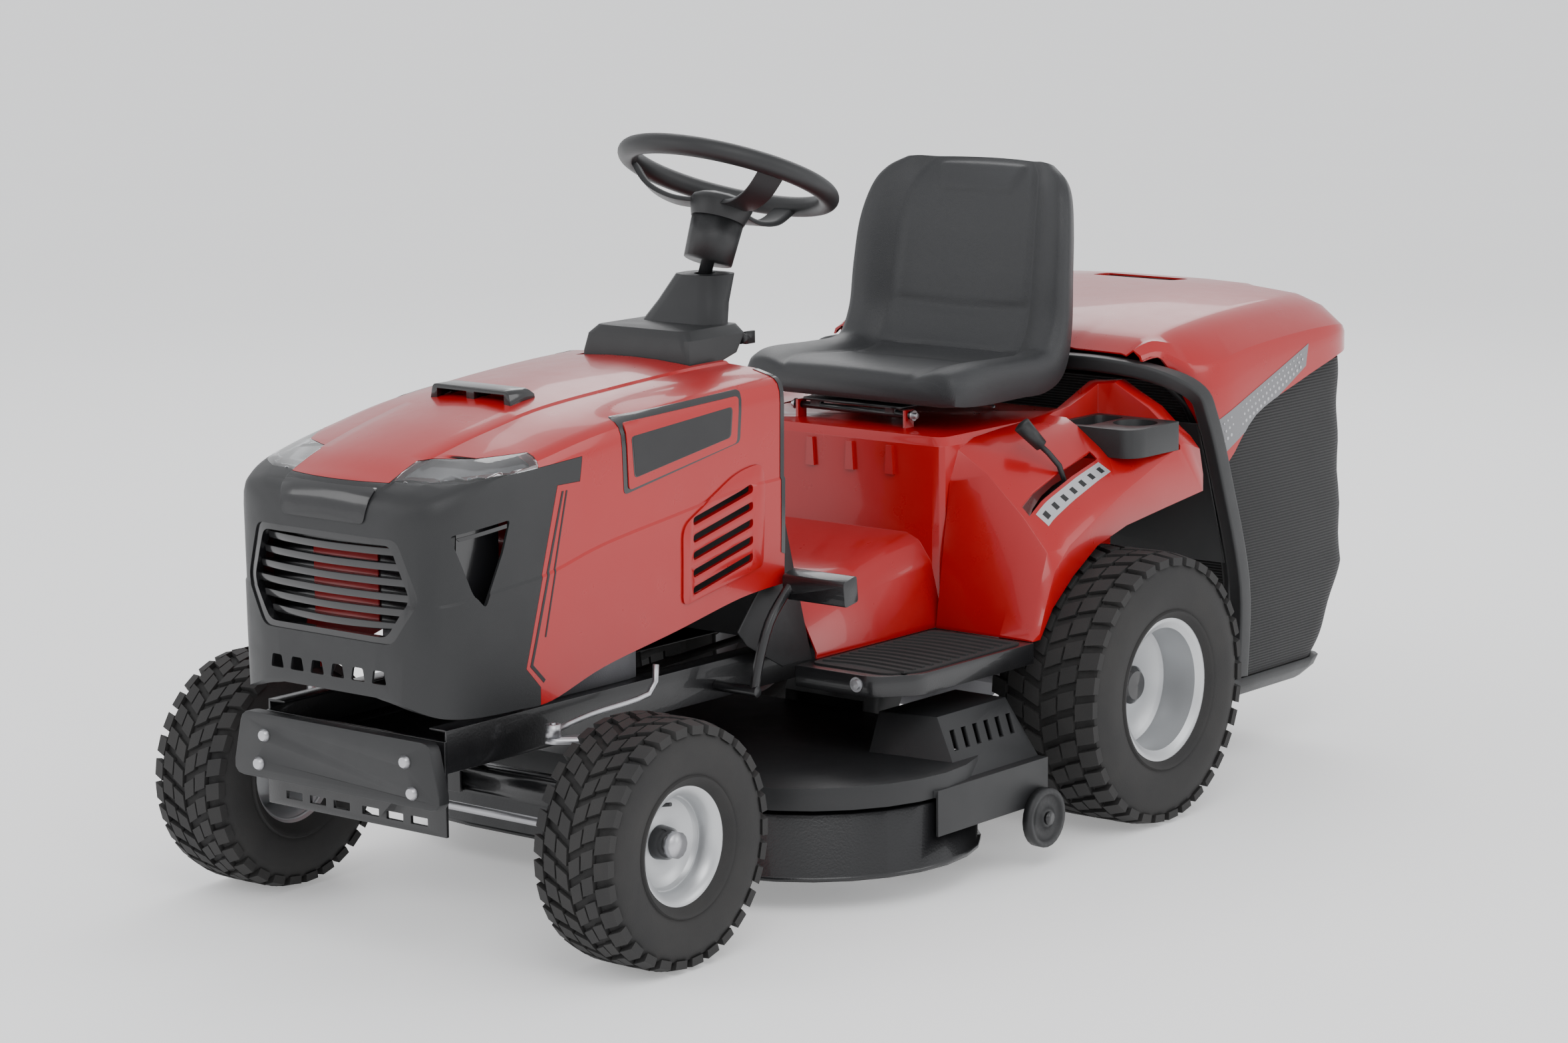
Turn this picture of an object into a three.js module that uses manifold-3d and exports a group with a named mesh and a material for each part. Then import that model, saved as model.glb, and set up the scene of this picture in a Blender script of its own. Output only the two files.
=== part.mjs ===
// A riding lawn mower with a rear grass collector.
// Millimetres. +X is the operator's left, +Y points to the rear, +Z is up.
// Pieces are drawn from the ground point under the front axle; the last lines move the origin
// to the ground under the middle of the machine.
import * as THREE from "three";
import { mergeVertices } from "three/addons/utils/BufferGeometryUtils.js";
import Module from "manifold-3d";

const wasm = await Module();
wasm.setup();

// ---------------------------------------------------------------- driving dimensions

const GAP = 0.4; // between pieces that touch or are bolted together
const RUNNING = 0.5; // radial play of a shaft in its bearing
const WALL = 4; // moulded and pressed skins
const WELD = 1e-3; // corners closer than this are one corner

const WHEELBASE = 1150;
const REAR_DATUM = 1150; // the rear axle's place in the rear pieces' own dimensions
const REAR_SHIFT = WHEELBASE - REAR_DATUM;
const FRONT_WHEEL = {
  radius: 187,
  width: 150,
  x: 400,
  bead: 77,
  flange: 90,
  rimWidth: 118,
  axle: 10,
  discOffset: 12,
  hub: 22,
};
const REAR_WHEEL = {
  radius: 228.6,
  width: 212,
  x: 437,
  bead: 103,
  flange: 118,
  rimWidth: 186,
  axle: 12.7,
  discOffset: -18,
  hub: 30,
};
const TYRE_SIDES = 22;
const RIM_SIDES = 18;

const KINGPIN_X = 300;
const KINGPIN_RADIUS = 10;
const TIE_ARM = 90; // from the kingpin back to the tie rod
const AXLE_BEAM = { bottom: 212, top: 252, depth: 40, pivot: 12 };
const RAIL = { inner: 150, outer: 185, bottom: 300, top: 360, front: -205, rear: WHEELBASE + 180, sheet: 4 };

const BUMPER = { front: -252, thickness: 22, bottom: 250, top: 350, topHalf: 194, bottomHalf: 217 };

const HOOD = { front: -261, rear: 505, sideRear: 245, notchHalf: 120, notchFront: 428 };
const NOSE = { sideRear: -28, hookRear: 44, hookBottom: 700, topFront: 716, topRear: 736 };
const HEADLIGHT = { inner: 100, rear: -47, height: 21 };

const STEERING = { y: 671, z: 1092, tilt: 22.1, ring: 166, grip: 17.5, shaft: 11 };
const DASH = { half: 228, base: 788, podTop: 868, podRear: 588, neckFront: 524, neckTop: 940 };

const FLOOR_Z = 338; // top of the footboards
const SEAT_PAN = { half: 240, front: 925, rear: 1330, top: 651 };
const FENDER = { outer: 435, rear: 1405 };
const CUP = { inner: 266, outer: 436, front: 1192, rear: 1334, bottom: 600, top: 648, well: 38 };

const DECK_RADIUS = 262;
const DECK = {
  y: 565,
  lobe: 250,
  radius: DECK_RADIUS,
  skirt: 50,
  top: 154,
  pulley: 60,
  blade: DECK_RADIUS - 17,
  shaft: 12.5,
};
const CHUTE = { left: 140, right: -30 };
const ENGINE = { y: 130, base: RAIL.top + GAP, sheave: 42, shaft: 12.5 };
const BELT_SLANT = 110 / 890; // how far the drive belt goes to the right for each mm it goes back
const DRIVE_PULLEY = { x: (ENGINE.y + 130 - WHEELBASE) * BELT_SLANT, y: WHEELBASE - 130 };
const BELT = { bottom: 280, top: 291, thickness: 6 };

const COLLECTOR = { rear: 2010, wall: 4 };

// ---------------------------------------------------------------- solids

// A three.js geometry as a solid, with its faces turned outwards.
function solidOf(geometry) {
  const open = geometry.index ? geometry.toNonIndexed() : geometry;
  const bare = new THREE.BufferGeometry();
  bare.setAttribute("position", open.getAttribute("position"));
  const merged = mergeVertices(bare, WELD);
  const corners = merged.index.array;
  const faces = [];
  for (let i = 0; i < corners.length; i += 3) {
    const [a, b, c] = corners.slice(i, i + 3);
    if (a !== b && b !== c && c !== a) faces.push(a, b, c);
  }
  const build = (triVerts) =>
    new wasm.Manifold(
      new wasm.Mesh({
        numProp: 3,
        vertProperties: Float32Array.from(merged.getAttribute("position").array),
        triVerts: Uint32Array.from(triVerts),
      }),
    );
  const made = build(faces);
  return made.volume() < 0 ? build(faces.reverse()) : made;
}

function geometryOf(solid) {
  const mesh = solid.getMesh();
  const geometry = new THREE.BufferGeometry();
  geometry.setAttribute("position", new THREE.BufferAttribute(mesh.vertProperties.slice(), 3));
  geometry.setIndex(new THREE.BufferAttribute(mesh.triVerts.slice(), 1));
  return geometry;
}

function join(...solids) {
  return solids.reduce((whole, next) => whole.add(next));
}

function cut(solid, ...tools) {
  return tools.reduce((rest, tool) => rest.subtract(tool), solid);
}

function mirrored(solid) {
  return solidOf(geometryOf(solid).scale(-1, 1, 1));
}

function bothSides(solid) {
  return solid.add(mirrored(solid));
}

function block([x0, x1], [y0, y1], [z0, z1]) {
  const geometry = new THREE.BoxGeometry(x1 - x0, y1 - y0, z1 - z0);
  geometry.translate((x0 + x1) / 2, (y0 + y1) / 2, (z0 + z1) / 2);
  return solidOf(geometry);
}

// A round bar between two points; a second radius makes it a cone.
function rod(from, to, radius, sides = 12, endRadius = radius) {
  const start = new THREE.Vector3(...from);
  const run = new THREE.Vector3(...to).sub(start);
  const length = run.length();
  const geometry = new THREE.CylinderGeometry(endRadius, radius, length, sides);
  geometry.translate(0, length / 2, 0);
  const turn = new THREE.Quaternion().setFromUnitVectors(
    new THREE.Vector3(0, 1, 0),
    run.normalize(),
  );
  geometry.applyQuaternion(turn);
  geometry.translate(...from);
  return solidOf(geometry);
}

// A bent round bar through the given points.
function bentRod(points, radius, sides = 8, steps = 10) {
  const curve = new THREE.CatmullRomCurve3(
    points.map((p) => new THREE.Vector3(...p)),
    false,
    "centripetal",
  );
  const section = new THREE.Shape(new THREE.EllipseCurve(0, 0, radius, radius).getPoints(sides));
  return solidOf(new THREE.ExtrudeGeometry(section, { steps, extrudePath: curve }));
}

// An outline whose corners are [a, b] or, where one is rounded, [a, b, cut length].
function outline(corners) {
  const at = (i) => corners[(i + corners.length) % corners.length];
  const towards = (from, to, distance) => {
    const start = new THREE.Vector2(from[0], from[1]);
    const run = new THREE.Vector2(to[0], to[1]).sub(start);
    return start.add(run.setLength(distance));
  };
  const shape = new THREE.Shape();
  corners.forEach((corner, i) => {
    const rounding = corner[2] ?? 0;
    const enter = rounding ? towards(corner, at(i - 1), rounding) : corner;
    const [x, y] = rounding ? [enter.x, enter.y] : corner;
    if (i === 0) shape.moveTo(x, y);
    else shape.lineTo(x, y);
    if (rounding) {
      const leave = towards(corner, at(i + 1), rounding);
      shape.quadraticCurveTo(corner[0], corner[1], leave.x, leave.y);
    }
  });
  shape.closePath();
  return shape;
}

const X = new THREE.Vector3(1, 0, 0);
const Y = new THREE.Vector3(0, 1, 0);
const Z = new THREE.Vector3(0, 0, 1);
const FACINGS = {
  plan: new THREE.Matrix4(),
  side: new THREE.Matrix4().makeBasis(Y, Z, X),
  front: new THREE.Matrix4().makeBasis(X, Z, Y.clone().negate()),
};

// An outline extruded square to its plane: (x, y) in plan, (y, z) from the side, (x, z) from the front.
function slab(facing, shape, from, to, curveSegments = 3) {
  const drawn = shape instanceof THREE.Shape ? shape : outline(shape);
  const depth = to - from;
  const geometry = new THREE.ExtrudeGeometry(drawn, { depth, bevelEnabled: false, curveSegments });
  geometry.translate(0, 0, facing === "front" ? -to : from);
  geometry.applyMatrix4(FACINGS[facing]);
  return solidOf(geometry);
}

// A skin drawn through rings of equal point counts, closed at both ends by a fan round the middle.
function loft(rings) {
  const count = rings[0].length;
  const middleOf = (ring) =>
    ring.reduce((sum, p) => sum.add(p), new THREE.Vector3()).divideScalar(count);
  const points = [...rings.flat(), middleOf(rings[0]), middleOf(rings.at(-1))];
  const last = (rings.length - 1) * count;
  const faces = [];
  for (let i = 0; i < count; i += 1) {
    const next = (i + 1) % count;
    for (let k = 0; k < last; k += count) {
      faces.push(k + i, k + next, k + next + count, k + i, k + next + count, k + i + count);
    }
    faces.push(next, i, points.length - 2);
    faces.push(last + i, last + next, points.length - 1);
  }
  const geometry = new THREE.BufferGeometry().setFromPoints(points);
  geometry.setIndex(faces);
  return solidOf(geometry);
}

// A solid turned about the X direction through the wheel axle.
function latheX(profile, sides, centre, outwards = 1, halfStep = 0) {
  const points = profile.map(([radius, offset]) => new THREE.Vector2(radius, offset));
  const geometry = new THREE.LatheGeometry([...points, points[0]], sides);
  geometry.rotateY(halfStep);
  geometry.rotateZ(-Math.PI / 2);
  geometry.scale(outwards, 1, 1);
  geometry.translate(...centre);
  return solidOf(geometry);
}

function latheZ(profile, sides, centre) {
  const points = profile.map(([radius, height]) => new THREE.Vector2(radius, height));
  const geometry = new THREE.LatheGeometry(points, sides);
  geometry.rotateX(Math.PI / 2);
  geometry.translate(...centre);
  return solidOf(geometry);
}

// ---------------------------------------------------------------- scene graph

const mower = new THREE.Group();

const PAINT = {
  red: { color: 0xc8150f, roughness: 0.25, metalness: 0.0 },
  black: { color: 0x15161a, roughness: 0.35, metalness: 0.2 },
  satin: { color: 0x2b2d30, roughness: 0.55, metalness: 0.0 },
  rubber: { color: 0x1d1d1f, roughness: 0.85, metalness: 0.0 },
  silver: { color: 0xc3c6c9, roughness: 0.35, metalness: 0.8 },
  steel: { color: 0x8b8e92, roughness: 0.4, metalness: 0.9 },
  iron: { color: 0x4a4c4f, roughness: 0.6, metalness: 0.6 },
  vinyl: { color: 0x202124, roughness: 0.6, metalness: 0.0 },
  fabric: { color: 0x111112, roughness: 0.95, metalness: 0.0 },
  clear: { color: 0xdfe6ea, roughness: 0.1, metalness: 0.0 },
};

function place(name, solid, paint) {
  const mesh = new THREE.Mesh(geometryOf(solid), new THREE.MeshStandardMaterial(PAINT[paint]));
  mesh.name = name;
  mower.add(mesh);
  return mesh;
}

// Rear pieces are made where REAR_DATUM says, then moved with the rear axle.
function placeAtRear(name, solid, paint) {
  place(name, solid, paint).position.y = REAR_SHIFT;
}

// A left-hand piece and its mirror image.
function placePair(name, solid, paint) {
  place(`${name}_left`, solid, paint);
  place(`${name}_right`, solid, paint).scale.x = -1;
}

// ---------------------------------------------------------------- wheels

function tyre(wheel, y) {
  const half = wheel.width / 2;
  const bead = wheel.rimWidth / 2 - 6;
  const inner = wheel.bead + GAP;
  const shoulder = wheel.radius - 14;
  const profile = [
    [inner, bead],
    [wheel.flange + 2, bead + 1],
    [wheel.flange + 14, half - 4],
    [(wheel.flange + shoulder) / 2 + 6, half],
    [shoulder, half - 7],
    [wheel.radius, half - 28],
  ];
  const liner = [
    [wheel.radius - 16, half - 36],
    [wheel.flange + 16, half - 15],
    [inner, bead - 9],
  ];
  const across = (points) => points.map(([r, u]) => [r, -u]).reverse();
  const ring = [...profile, ...across(profile), ...across(liner), ...liner];
  const widened = ring.map(([r, u]) => [r / Math.cos(Math.PI / TYRE_SIDES), u]);
  return latheX(widened, TYRE_SIDES, [wheel.x, y, wheel.radius], 1, Math.PI / TYRE_SIDES);
}

function rim(wheel, y) {
  const half = wheel.rimWidth / 2;
  const barrel = wheel.bead - 5;
  const bore = wheel.axle + GAP;
  const disc = wheel.discOffset;
  const profile = [
    [wheel.flange, half],
    [wheel.flange, half - 4],
    [wheel.bead, half - 5.5],
    [wheel.bead, 5.5 - half],
    [wheel.flange, 4 - half],
    [wheel.flange, -half],
    [barrel, 8 - half],
    [barrel, disc - 5],
    [wheel.hub, disc - 5],
    [wheel.hub, -half * 0.6],
    [bore, -half * 0.6],
    [bore, disc + 22],
    [wheel.hub, disc + 22],
    [wheel.hub, disc],
    [barrel, disc],
    [barrel, half - 8],
  ];
  return latheX(profile, RIM_SIDES, [wheel.x, y, wheel.radius]);
}

function addWheels() {
  placePair("front_tyre", tyre(FRONT_WHEEL, 0), "rubber");
  placePair("front_rim", rim(FRONT_WHEEL, 0), "silver");
  placePair("rear_tyre", tyre(REAR_WHEEL, WHEELBASE), "rubber");
  placePair("rear_rim", rim(REAR_WHEEL, WHEELBASE), "silver");
}

// The drive shaft of one rear wheel, with its end cap outside the rim's hub.
function rearAxle() {
  const height = REAR_WHEEL.radius;
  const hubEnd = REAR_WHEEL.x + REAR_WHEEL.discOffset + 22;
  const shaft = rod([40, WHEELBASE, height], [hubEnd + 10, WHEELBASE, height], REAR_WHEEL.axle);
  const cap = rod(
    [hubEnd + GAP, WHEELBASE, height],
    [hubEnd + 14, WHEELBASE, height],
    REAR_WHEEL.hub - 6,
  );
  return join(shaft, cap);
}

// ---------------------------------------------------------------- front axle and steering

function axleBeam() {
  const half = AXLE_BEAM.depth / 2;
  const beam = block([-290, 290], [-half, half], [AXLE_BEAM.bottom, AXLE_BEAM.top]);
  const boss = rod([KINGPIN_X, 0, AXLE_BEAM.bottom], [KINGPIN_X, 0, AXLE_BEAM.top], 19);
  const bore = rod([KINGPIN_X, 0, 0], [KINGPIN_X, 0, 400], KINGPIN_RADIUS + RUNNING);
  const middle = (AXLE_BEAM.bottom + AXLE_BEAM.top) / 2;
  const pivotBore = rod([0, -half - 1, middle], [0, half + 1, middle], AXLE_BEAM.pivot + RUNNING);
  return cut(join(beam, bothSides(boss)), bothSides(bore), pivotBore);
}

const KNUCKLE_TOP = AXLE_BEAM.bottom - 1;
const KNUCKLE_BOTTOM = 166;
const TIE_ROD_Z = 150;
const DRAG_BALL = [250, -47];
const DRAG_ARM_Z = 322;

// The kingpin, stub axle and tie-rod arm of the left wheel.
function knuckle() {
  const stubZ = FRONT_WHEEL.radius;
  const hubEnd = FRONT_WHEEL.x + FRONT_WHEEL.discOffset + 22;
  const kingpin = rod(
    [KINGPIN_X, 0, KNUCKLE_BOTTOM],
    [KINGPIN_X, 0, DRAG_ARM_Z + 8],
    KINGPIN_RADIUS,
  );
  const body = block(
    [KINGPIN_X - 16, KINGPIN_X + 19],
    [-16, 16],
    [KNUCKLE_BOTTOM, KNUCKLE_TOP],
  );
  const stub = rod([KINGPIN_X, 0, stubZ], [hubEnd + 10, 0, stubZ], FRONT_WHEEL.axle);
  const cap = rod([hubEnd + GAP, 0, stubZ], [hubEnd + 16, 0, stubZ], FRONT_WHEEL.hub - 2);
  const arm = block(
    [KINGPIN_X - 11, KINGPIN_X + 11],
    [0, TIE_ARM + 11],
    [KNUCKLE_BOTTOM, KNUCKLE_BOTTOM + 8],
  );
  const pin = rod([KINGPIN_X, TIE_ARM, TIE_ROD_Z - 10], [KINGPIN_X, TIE_ARM, KNUCKLE_BOTTOM + 4], 5);
  return join(kingpin, body, stub, cap, arm, pin);
}

// The left knuckle also carries the arm that the drag link pushes.
function leftKnuckle() {
  const [ballX, ballY] = DRAG_BALL;
  const plate = slab(
    "plan",
    [
      [KINGPIN_X + 12, -12, 8],
      [KINGPIN_X + 12, 12, 8],
      [KINGPIN_X - 12, 12, 8],
      [ballX - 12, ballY + 6, 6],
      [ballX - 8, ballY - 12, 6],
      [ballX + 10, ballY - 12, 6],
    ],
    DRAG_ARM_Z,
    DRAG_ARM_Z + 8,
  );
  const stud = rod([ballX, ballY, DRAG_ARM_Z + 4], [ballX, ballY, DRAG_ARM_Z + 30], 4);
  return join(knuckle(), plate, stud);
}

function tieRod() {
  const bar = rod([-KINGPIN_X + 8, TIE_ARM, TIE_ROD_Z], [KINGPIN_X - 8, TIE_ARM, TIE_ROD_Z], 7);
  const eye = rod([KINGPIN_X, TIE_ARM, TIE_ROD_Z - 8], [KINGPIN_X, TIE_ARM, TIE_ROD_Z + 8], 13);
  const hole = rod([KINGPIN_X, TIE_ARM, 0], [KINGPIN_X, TIE_ARM, 300], 5 + RUNNING);
  return cut(join(bar, bothSides(eye)), bothSides(hole));
}

// The link from the knuckle arm to the steering gear, with its end bent upwards.
function dragLink() {
  const [ballX, ballY] = DRAG_BALL;
  const z = DRAG_ARM_Z + 19;
  const bar = bentRod(
    [
      [ballX + 2, ballY + 6, z],
      [ballX - 2, 40, z + 8],
      [ballX, 150, z + 14],
      [ballX + 2, 178, z + 22],
      [ballX + 2, 184, z + 60],
    ],
    5,
  );
  const eye = rod([ballX, ballY, DRAG_ARM_Z + 8 + RUNNING], [ballX, ballY, DRAG_ARM_Z + 28], 12);
  const hole = rod([ballX, ballY, 0], [ballX, ballY, 500], 4 + RUNNING);
  return cut(join(bar, eye), hole);
}

function inSteeringFrame(geometry) {
  geometry.rotateX(-THREE.MathUtils.degToRad(STEERING.tilt));
  geometry.translate(0, STEERING.y, STEERING.z);
  return solidOf(geometry);
}

const HUB_DROP = 58; // from the grip ring's plane down to the hub

function steeringWheel() {
  const ring = inSteeringFrame(new THREE.TorusGeometry(STEERING.ring, STEERING.grip, 8, 30));
  const hub = inSteeringFrame(
    new THREE.CylinderGeometry(52, 43, 34, 24).rotateX(Math.PI / 2).translate(0, 0, -HUB_DROP),
  );
  const spokeAt = (angle) => {
    const curve = new THREE.QuadraticBezierCurve3(
      new THREE.Vector3(30, 0, -HUB_DROP + 4),
      new THREE.Vector3(110, 0, -HUB_DROP + 6),
      new THREE.Vector3(STEERING.ring - 2, 0, 0),
    );
    const section = outline([
      [-22, -5],
      [22, -5],
      [22, 5],
      [-22, 5],
    ]);
    const options = { steps: 6, extrudePath: curve };
    const geometry = new THREE.ExtrudeGeometry(section, options);
    geometry.rotateZ(THREE.MathUtils.degToRad(angle));
    return inSteeringFrame(geometry);
  };
  return join(ring, hub, ...[90, 205, 335].map(spokeAt));
}

// The shaft and the sleeve that turn with the steering wheel.
function steeringColumn() {
  const along = (low, high, lowRadius, highRadius, sides) =>
    inSteeringFrame(
      new THREE.CylinderGeometry(highRadius, lowRadius, high - low, sides)
        .rotateX(Math.PI / 2)
        .translate(0, 0, (low + high) / 2),
    );
  const hubBottom = -HUB_DROP - 17 - GAP;
  const shaft = along(-700, hubBottom, STEERING.shaft, STEERING.shaft, 16);
  const sleeve = along(-144, hubBottom, 40, 43, 20);
  return join(shaft, sleeve);
}

// ---------------------------------------------------------------- frame

function frameRail() {
  const web = block([RAIL.inner, RAIL.outer], [RAIL.front, RAIL.rear], [RAIL.bottom, RAIL.top]);
  const hollow = block(
    [RAIL.inner - 1, RAIL.outer - RAIL.sheet],
    [RAIL.front - 1, RAIL.rear + 1],
    [RAIL.bottom + RAIL.sheet, RAIL.top - RAIL.sheet],
  );
  return cut(web, hollow);
}

// The room that the body panels leave for the rails.
function railSpace() {
  const half = RAIL.outer + 1;
  return block([-half, half], [RAIL.front, RAIL.rear + 10], [RAIL.bottom, RAIL.top + 1]);
}

const BRACKET = { top: RAIL.bottom + 1, sheet: 6, rear: 60, front: RAIL.front + 1, low: 200 };

// The rails, joined by a front cross plate with a slotted apron and the pin that the axle rocks on.
function chassisFrame() {
  const { top, sheet, rear, front, low } = BRACKET;
  const half = RAIL.outer;
  const plate = block([-half, half], [front - sheet, rear], [top - sheet, top]);
  const apron = block([-half, half], [front - sheet, front], [low, BUMPER.top - 6]);
  const slots = [-130, -80, -30, 30, 80, 130].map((x) =>
    block([x - 17, x + 17], [front - sheet - 1, front + 1], [low + 12, low + 24]),
  );
  const hangerAt = (y) => block([-40, 40], [y - sheet / 2, y + sheet / 2], [low + 12, top - 1]);
  const reach = AXLE_BEAM.depth / 2 + 2 + sheet / 2;
  const middle = (AXLE_BEAM.bottom + AXLE_BEAM.top) / 2;
  const pin = rod([0, -reach, middle], [0, reach, middle], AXLE_BEAM.pivot);
  const bracket = join(plate, apron, hangerAt(-reach), hangerAt(reach), pin);
  return join(bothSides(frameRail()), cut(bracket, ...slots));
}

function bumperPlate() {
  const face = slab(
    "front",
    [
      [-BUMPER.bottomHalf, BUMPER.bottom, 24],
      [BUMPER.bottomHalf, BUMPER.bottom, 24],
      [BUMPER.topHalf, BUMPER.top, 16],
      [-BUMPER.topHalf, BUMPER.top, 16],
    ],
    BUMPER.front,
    BUMPER.front + BUMPER.thickness,
  );
  const back = block(
    [-150, 150],
    [BUMPER.front + BUMPER.thickness - 1, BRACKET.front - BRACKET.sheet - GAP],
    [BUMPER.bottom + 20, BUMPER.top - 20],
  );
  const bolts = [
    [146, 317],
    [159, 272],
  ].map(([x, z]) => rod([x, BUMPER.front - 4, z], [x, BUMPER.front + 1, z], 9));
  return join(face, back, ...bolts.map(bothSides));
}

// The plate behind the rails with the hole for a trailer pin.
function towPlate() {
  const front = RAIL.rear + GAP;
  const back = block([-RAIL.outer, RAIL.outer], [front, front + 6], [232, RAIL.top]);
  const tongue = block([-60, 60], [front, front + 60], [232, 240]);
  const hole = rod([0, front + 38, 200], [0, front + 38, 260], 10);
  return cut(join(back, tongue), hole);
}

// ---------------------------------------------------------------- engine and drive

function engineBlock() {
  const { base, y } = ENGINE;
  const crankcase = slab(
    "plan",
    [
      [-165, y - 130, 40],
      [165, y - 130, 40],
      [165, y + 130, 40],
      [-165, y + 130, 40],
    ],
    base,
    base + 150,
  );
  const head = block([-75, 75], [y - 195, y - 120], [base + 40, base + 150]);
  const finGaps = [0, 1, 2, 3].map((i) =>
    block([-76, 76], [y - 196, y - 150], [base + 55 + i * 22, base + 63 + i * 22]),
  );
  const muffler = block([80, 150], [y - 190, y - 120], [base + 30, base + 120]);
  const shaftHole = rod([0, y, base - 1], [0, y, base + 20], ENGINE.shaft + RUNNING);
  return cut(join(crankcase, head, muffler), shaftHole, ...finGaps);
}

function blowerHousing() {
  const base = ENGINE.base + 150 + GAP;
  const dome = [
    [0, 0],
    [158, 0],
    [158, 60],
    [140, 110],
    [60, 130],
    [0, 130],
  ];
  const round = latheZ(dome, 24, [0, ENGINE.y, base]);
  const snout = block([-90, 90], [ENGINE.y - 195, ENGINE.y - 80], [base, base + 90]);
  return join(round, snout);
}

function enginePulley() {
  const y = ENGINE.y;
  const shaft = rod([0, y, BELT.bottom - 20], [0, y, ENGINE.base + 16], ENGINE.shaft);
  const groove = rod([0, y, BELT.bottom - 8], [0, y, BELT.top + 8], ENGINE.sheave - GAP, 20);
  const flangeAt = (low) => rod([0, y, low], [0, y, low + 4], ENGINE.sheave + 8, 20);
  return join(shaft, groove, flangeAt(BELT.bottom - 8), flangeAt(BELT.top + 4));
}

function drivePulley() {
  const { x, y } = DRIVE_PULLEY;
  const shaft = rod([x, y, BELT.bottom - 30], [x, y, BELT.top + 4], 8);
  const groove = rod([x, y, BELT.bottom - 8], [x, y, BELT.top + 4], ENGINE.sheave - GAP, 20);
  const flangeAt = (low) => rod([x, y, low], [x, y, low + 4], ENGINE.sheave + 8, 20);
  return join(shaft, groove, flangeAt(BELT.bottom - 8), flangeAt(BELT.top + 2));
}

// A flat belt round two equal pulleys in one horizontal plane.
function belt(from, to, radius, thickness, bottom, top) {
  const loop = (r, low, high) => {
    const angle = Math.atan2(to[1] - from[1], to[0] - from[0]);
    const shape = new THREE.Shape();
    shape.absarc(from[0], from[1], r, angle + Math.PI / 2, angle + (3 * Math.PI) / 2);
    shape.absarc(to[0], to[1], r, angle - Math.PI / 2, angle + Math.PI / 2);
    return slab("plan", shape, low, high, 7);
  };
  return cut(loop(radius + thickness, bottom, top), loop(radius, bottom - 1, top + 1));
}

function transaxle() {
  const height = REAR_WHEEL.radius;
  const { x, y } = DRIVE_PULLEY;
  const housing = slab(
    "side",
    [
      [WHEELBASE - 90, 150, 30],
      [WHEELBASE + 95, 150, 30],
      [WHEELBASE + 95, 290, 30],
      [WHEELBASE - 90, 290, 30],
    ],
    -120,
    120,
  );
  const tubes = rod([-215, WHEELBASE, height], [215, WHEELBASE, height], 34);
  const bore = rod([-216, WHEELBASE, height], [216, WHEELBASE, height], REAR_WHEEL.axle + RUNNING);
  const strap = block([-RAIL.outer, RAIL.outer], [WHEELBASE - 20, WHEELBASE + 20], [285, RAIL.bottom - GAP]);
  const inputBase = BELT.bottom - 8 - 2;
  const input = block([x - 30, x + 30], [y - 30, WHEELBASE - 80], [200, inputBase]);
  const inputBore = rod([x, y, 240], [x, y, inputBase + 1], 8 + RUNNING);
  const pulleySpace = rod([x, y, inputBase], [x, y, RAIL.bottom + 1], ENGINE.sheave + 12, 24);
  return cut(join(housing, tubes, strap, input), bore, inputBore, pulleySpace);
}

// ---------------------------------------------------------------- hood and nose

// Hood stations: y, half width, side bottom, side top edge, crease x, crease height, middle height.
const HOOD_STATIONS = [
  [-261, 100, 430, 648, 60, 660, 664],
  [-256, 142, 404, 682, 85, 692, 696],
  [-240, 186, 388, 697, 95, 710, 715],
  [-215, 208, 381, 708, 100, 722, 728],
  [-170, 222, 378, 723, 104, 740, 748],
  [-100, 231, 378, 739, 108, 759, 769],
  [-28, 234, 380, 753, 112, 775, 785],
  [86, 237, 412, 773, 118, 795, 804],
  [250, 240, 440, 790, 124, 808, 816],
  [400, 243, 468, 800, 128, 816, 823],
  [HOOD.rear, HOOD.sideRear, 476, 803, 130, 818, 824],
];

function hoodRing([y, half, bottom, edge, creaseX, creaseZ, top]) {
  const side = [
    [half, bottom],
    [half, edge - 24],
    [half - 6, edge - 8],
    [half - 22, edge],
    [creaseX, creaseZ],
    [creaseX * 0.5, top],
  ];
  const other = side.map(([x, z]) => [-x, z]).reverse();
  return [...side, ...other].map(([x, z]) => new THREE.Vector3(x, y, z));
}

// The hood's and nose's outer form; a positive inset gives the form inside the skin.
function hoodForm(inset, rearReach = 0, downReach = 0) {
  const rings = HOOD_STATIONS.map(([y, half, bottom, edge, creaseX, creaseZ, top], i) => {
    const front = i < 4 ? inset : 0;
    const rear = i === HOOD_STATIONS.length - 1 ? rearReach : 0;
    return hoodRing([
      y + front + rear,
      half - inset,
      bottom - downReach,
      edge - inset,
      creaseX,
      creaseZ - inset,
      top - inset,
    ]);
  });
  return loft(rings);
}

function hoodSkin() {
  return cut(hoodForm(0), hoodForm(WALL, 20, 60));
}

// Everything that belongs to the dark nose, seen from the side.
function noseRegion(grow) {
  const { sideRear, hookRear, hookBottom, topFront, topRear } = NOSE;
  return slab(
    "side",
    [
      [-300, 300],
      [sideRear + grow, 300],
      [sideRear + grow, 394],
      [sideRear + 18 + grow, hookBottom - grow],
      [hookRear - 6 + grow, hookBottom - grow],
      [hookRear + grow, topRear + grow],
      [-265, topFront + grow],
      [-300, topFront + grow],
    ],
    -300,
    300,
  );
}

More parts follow.
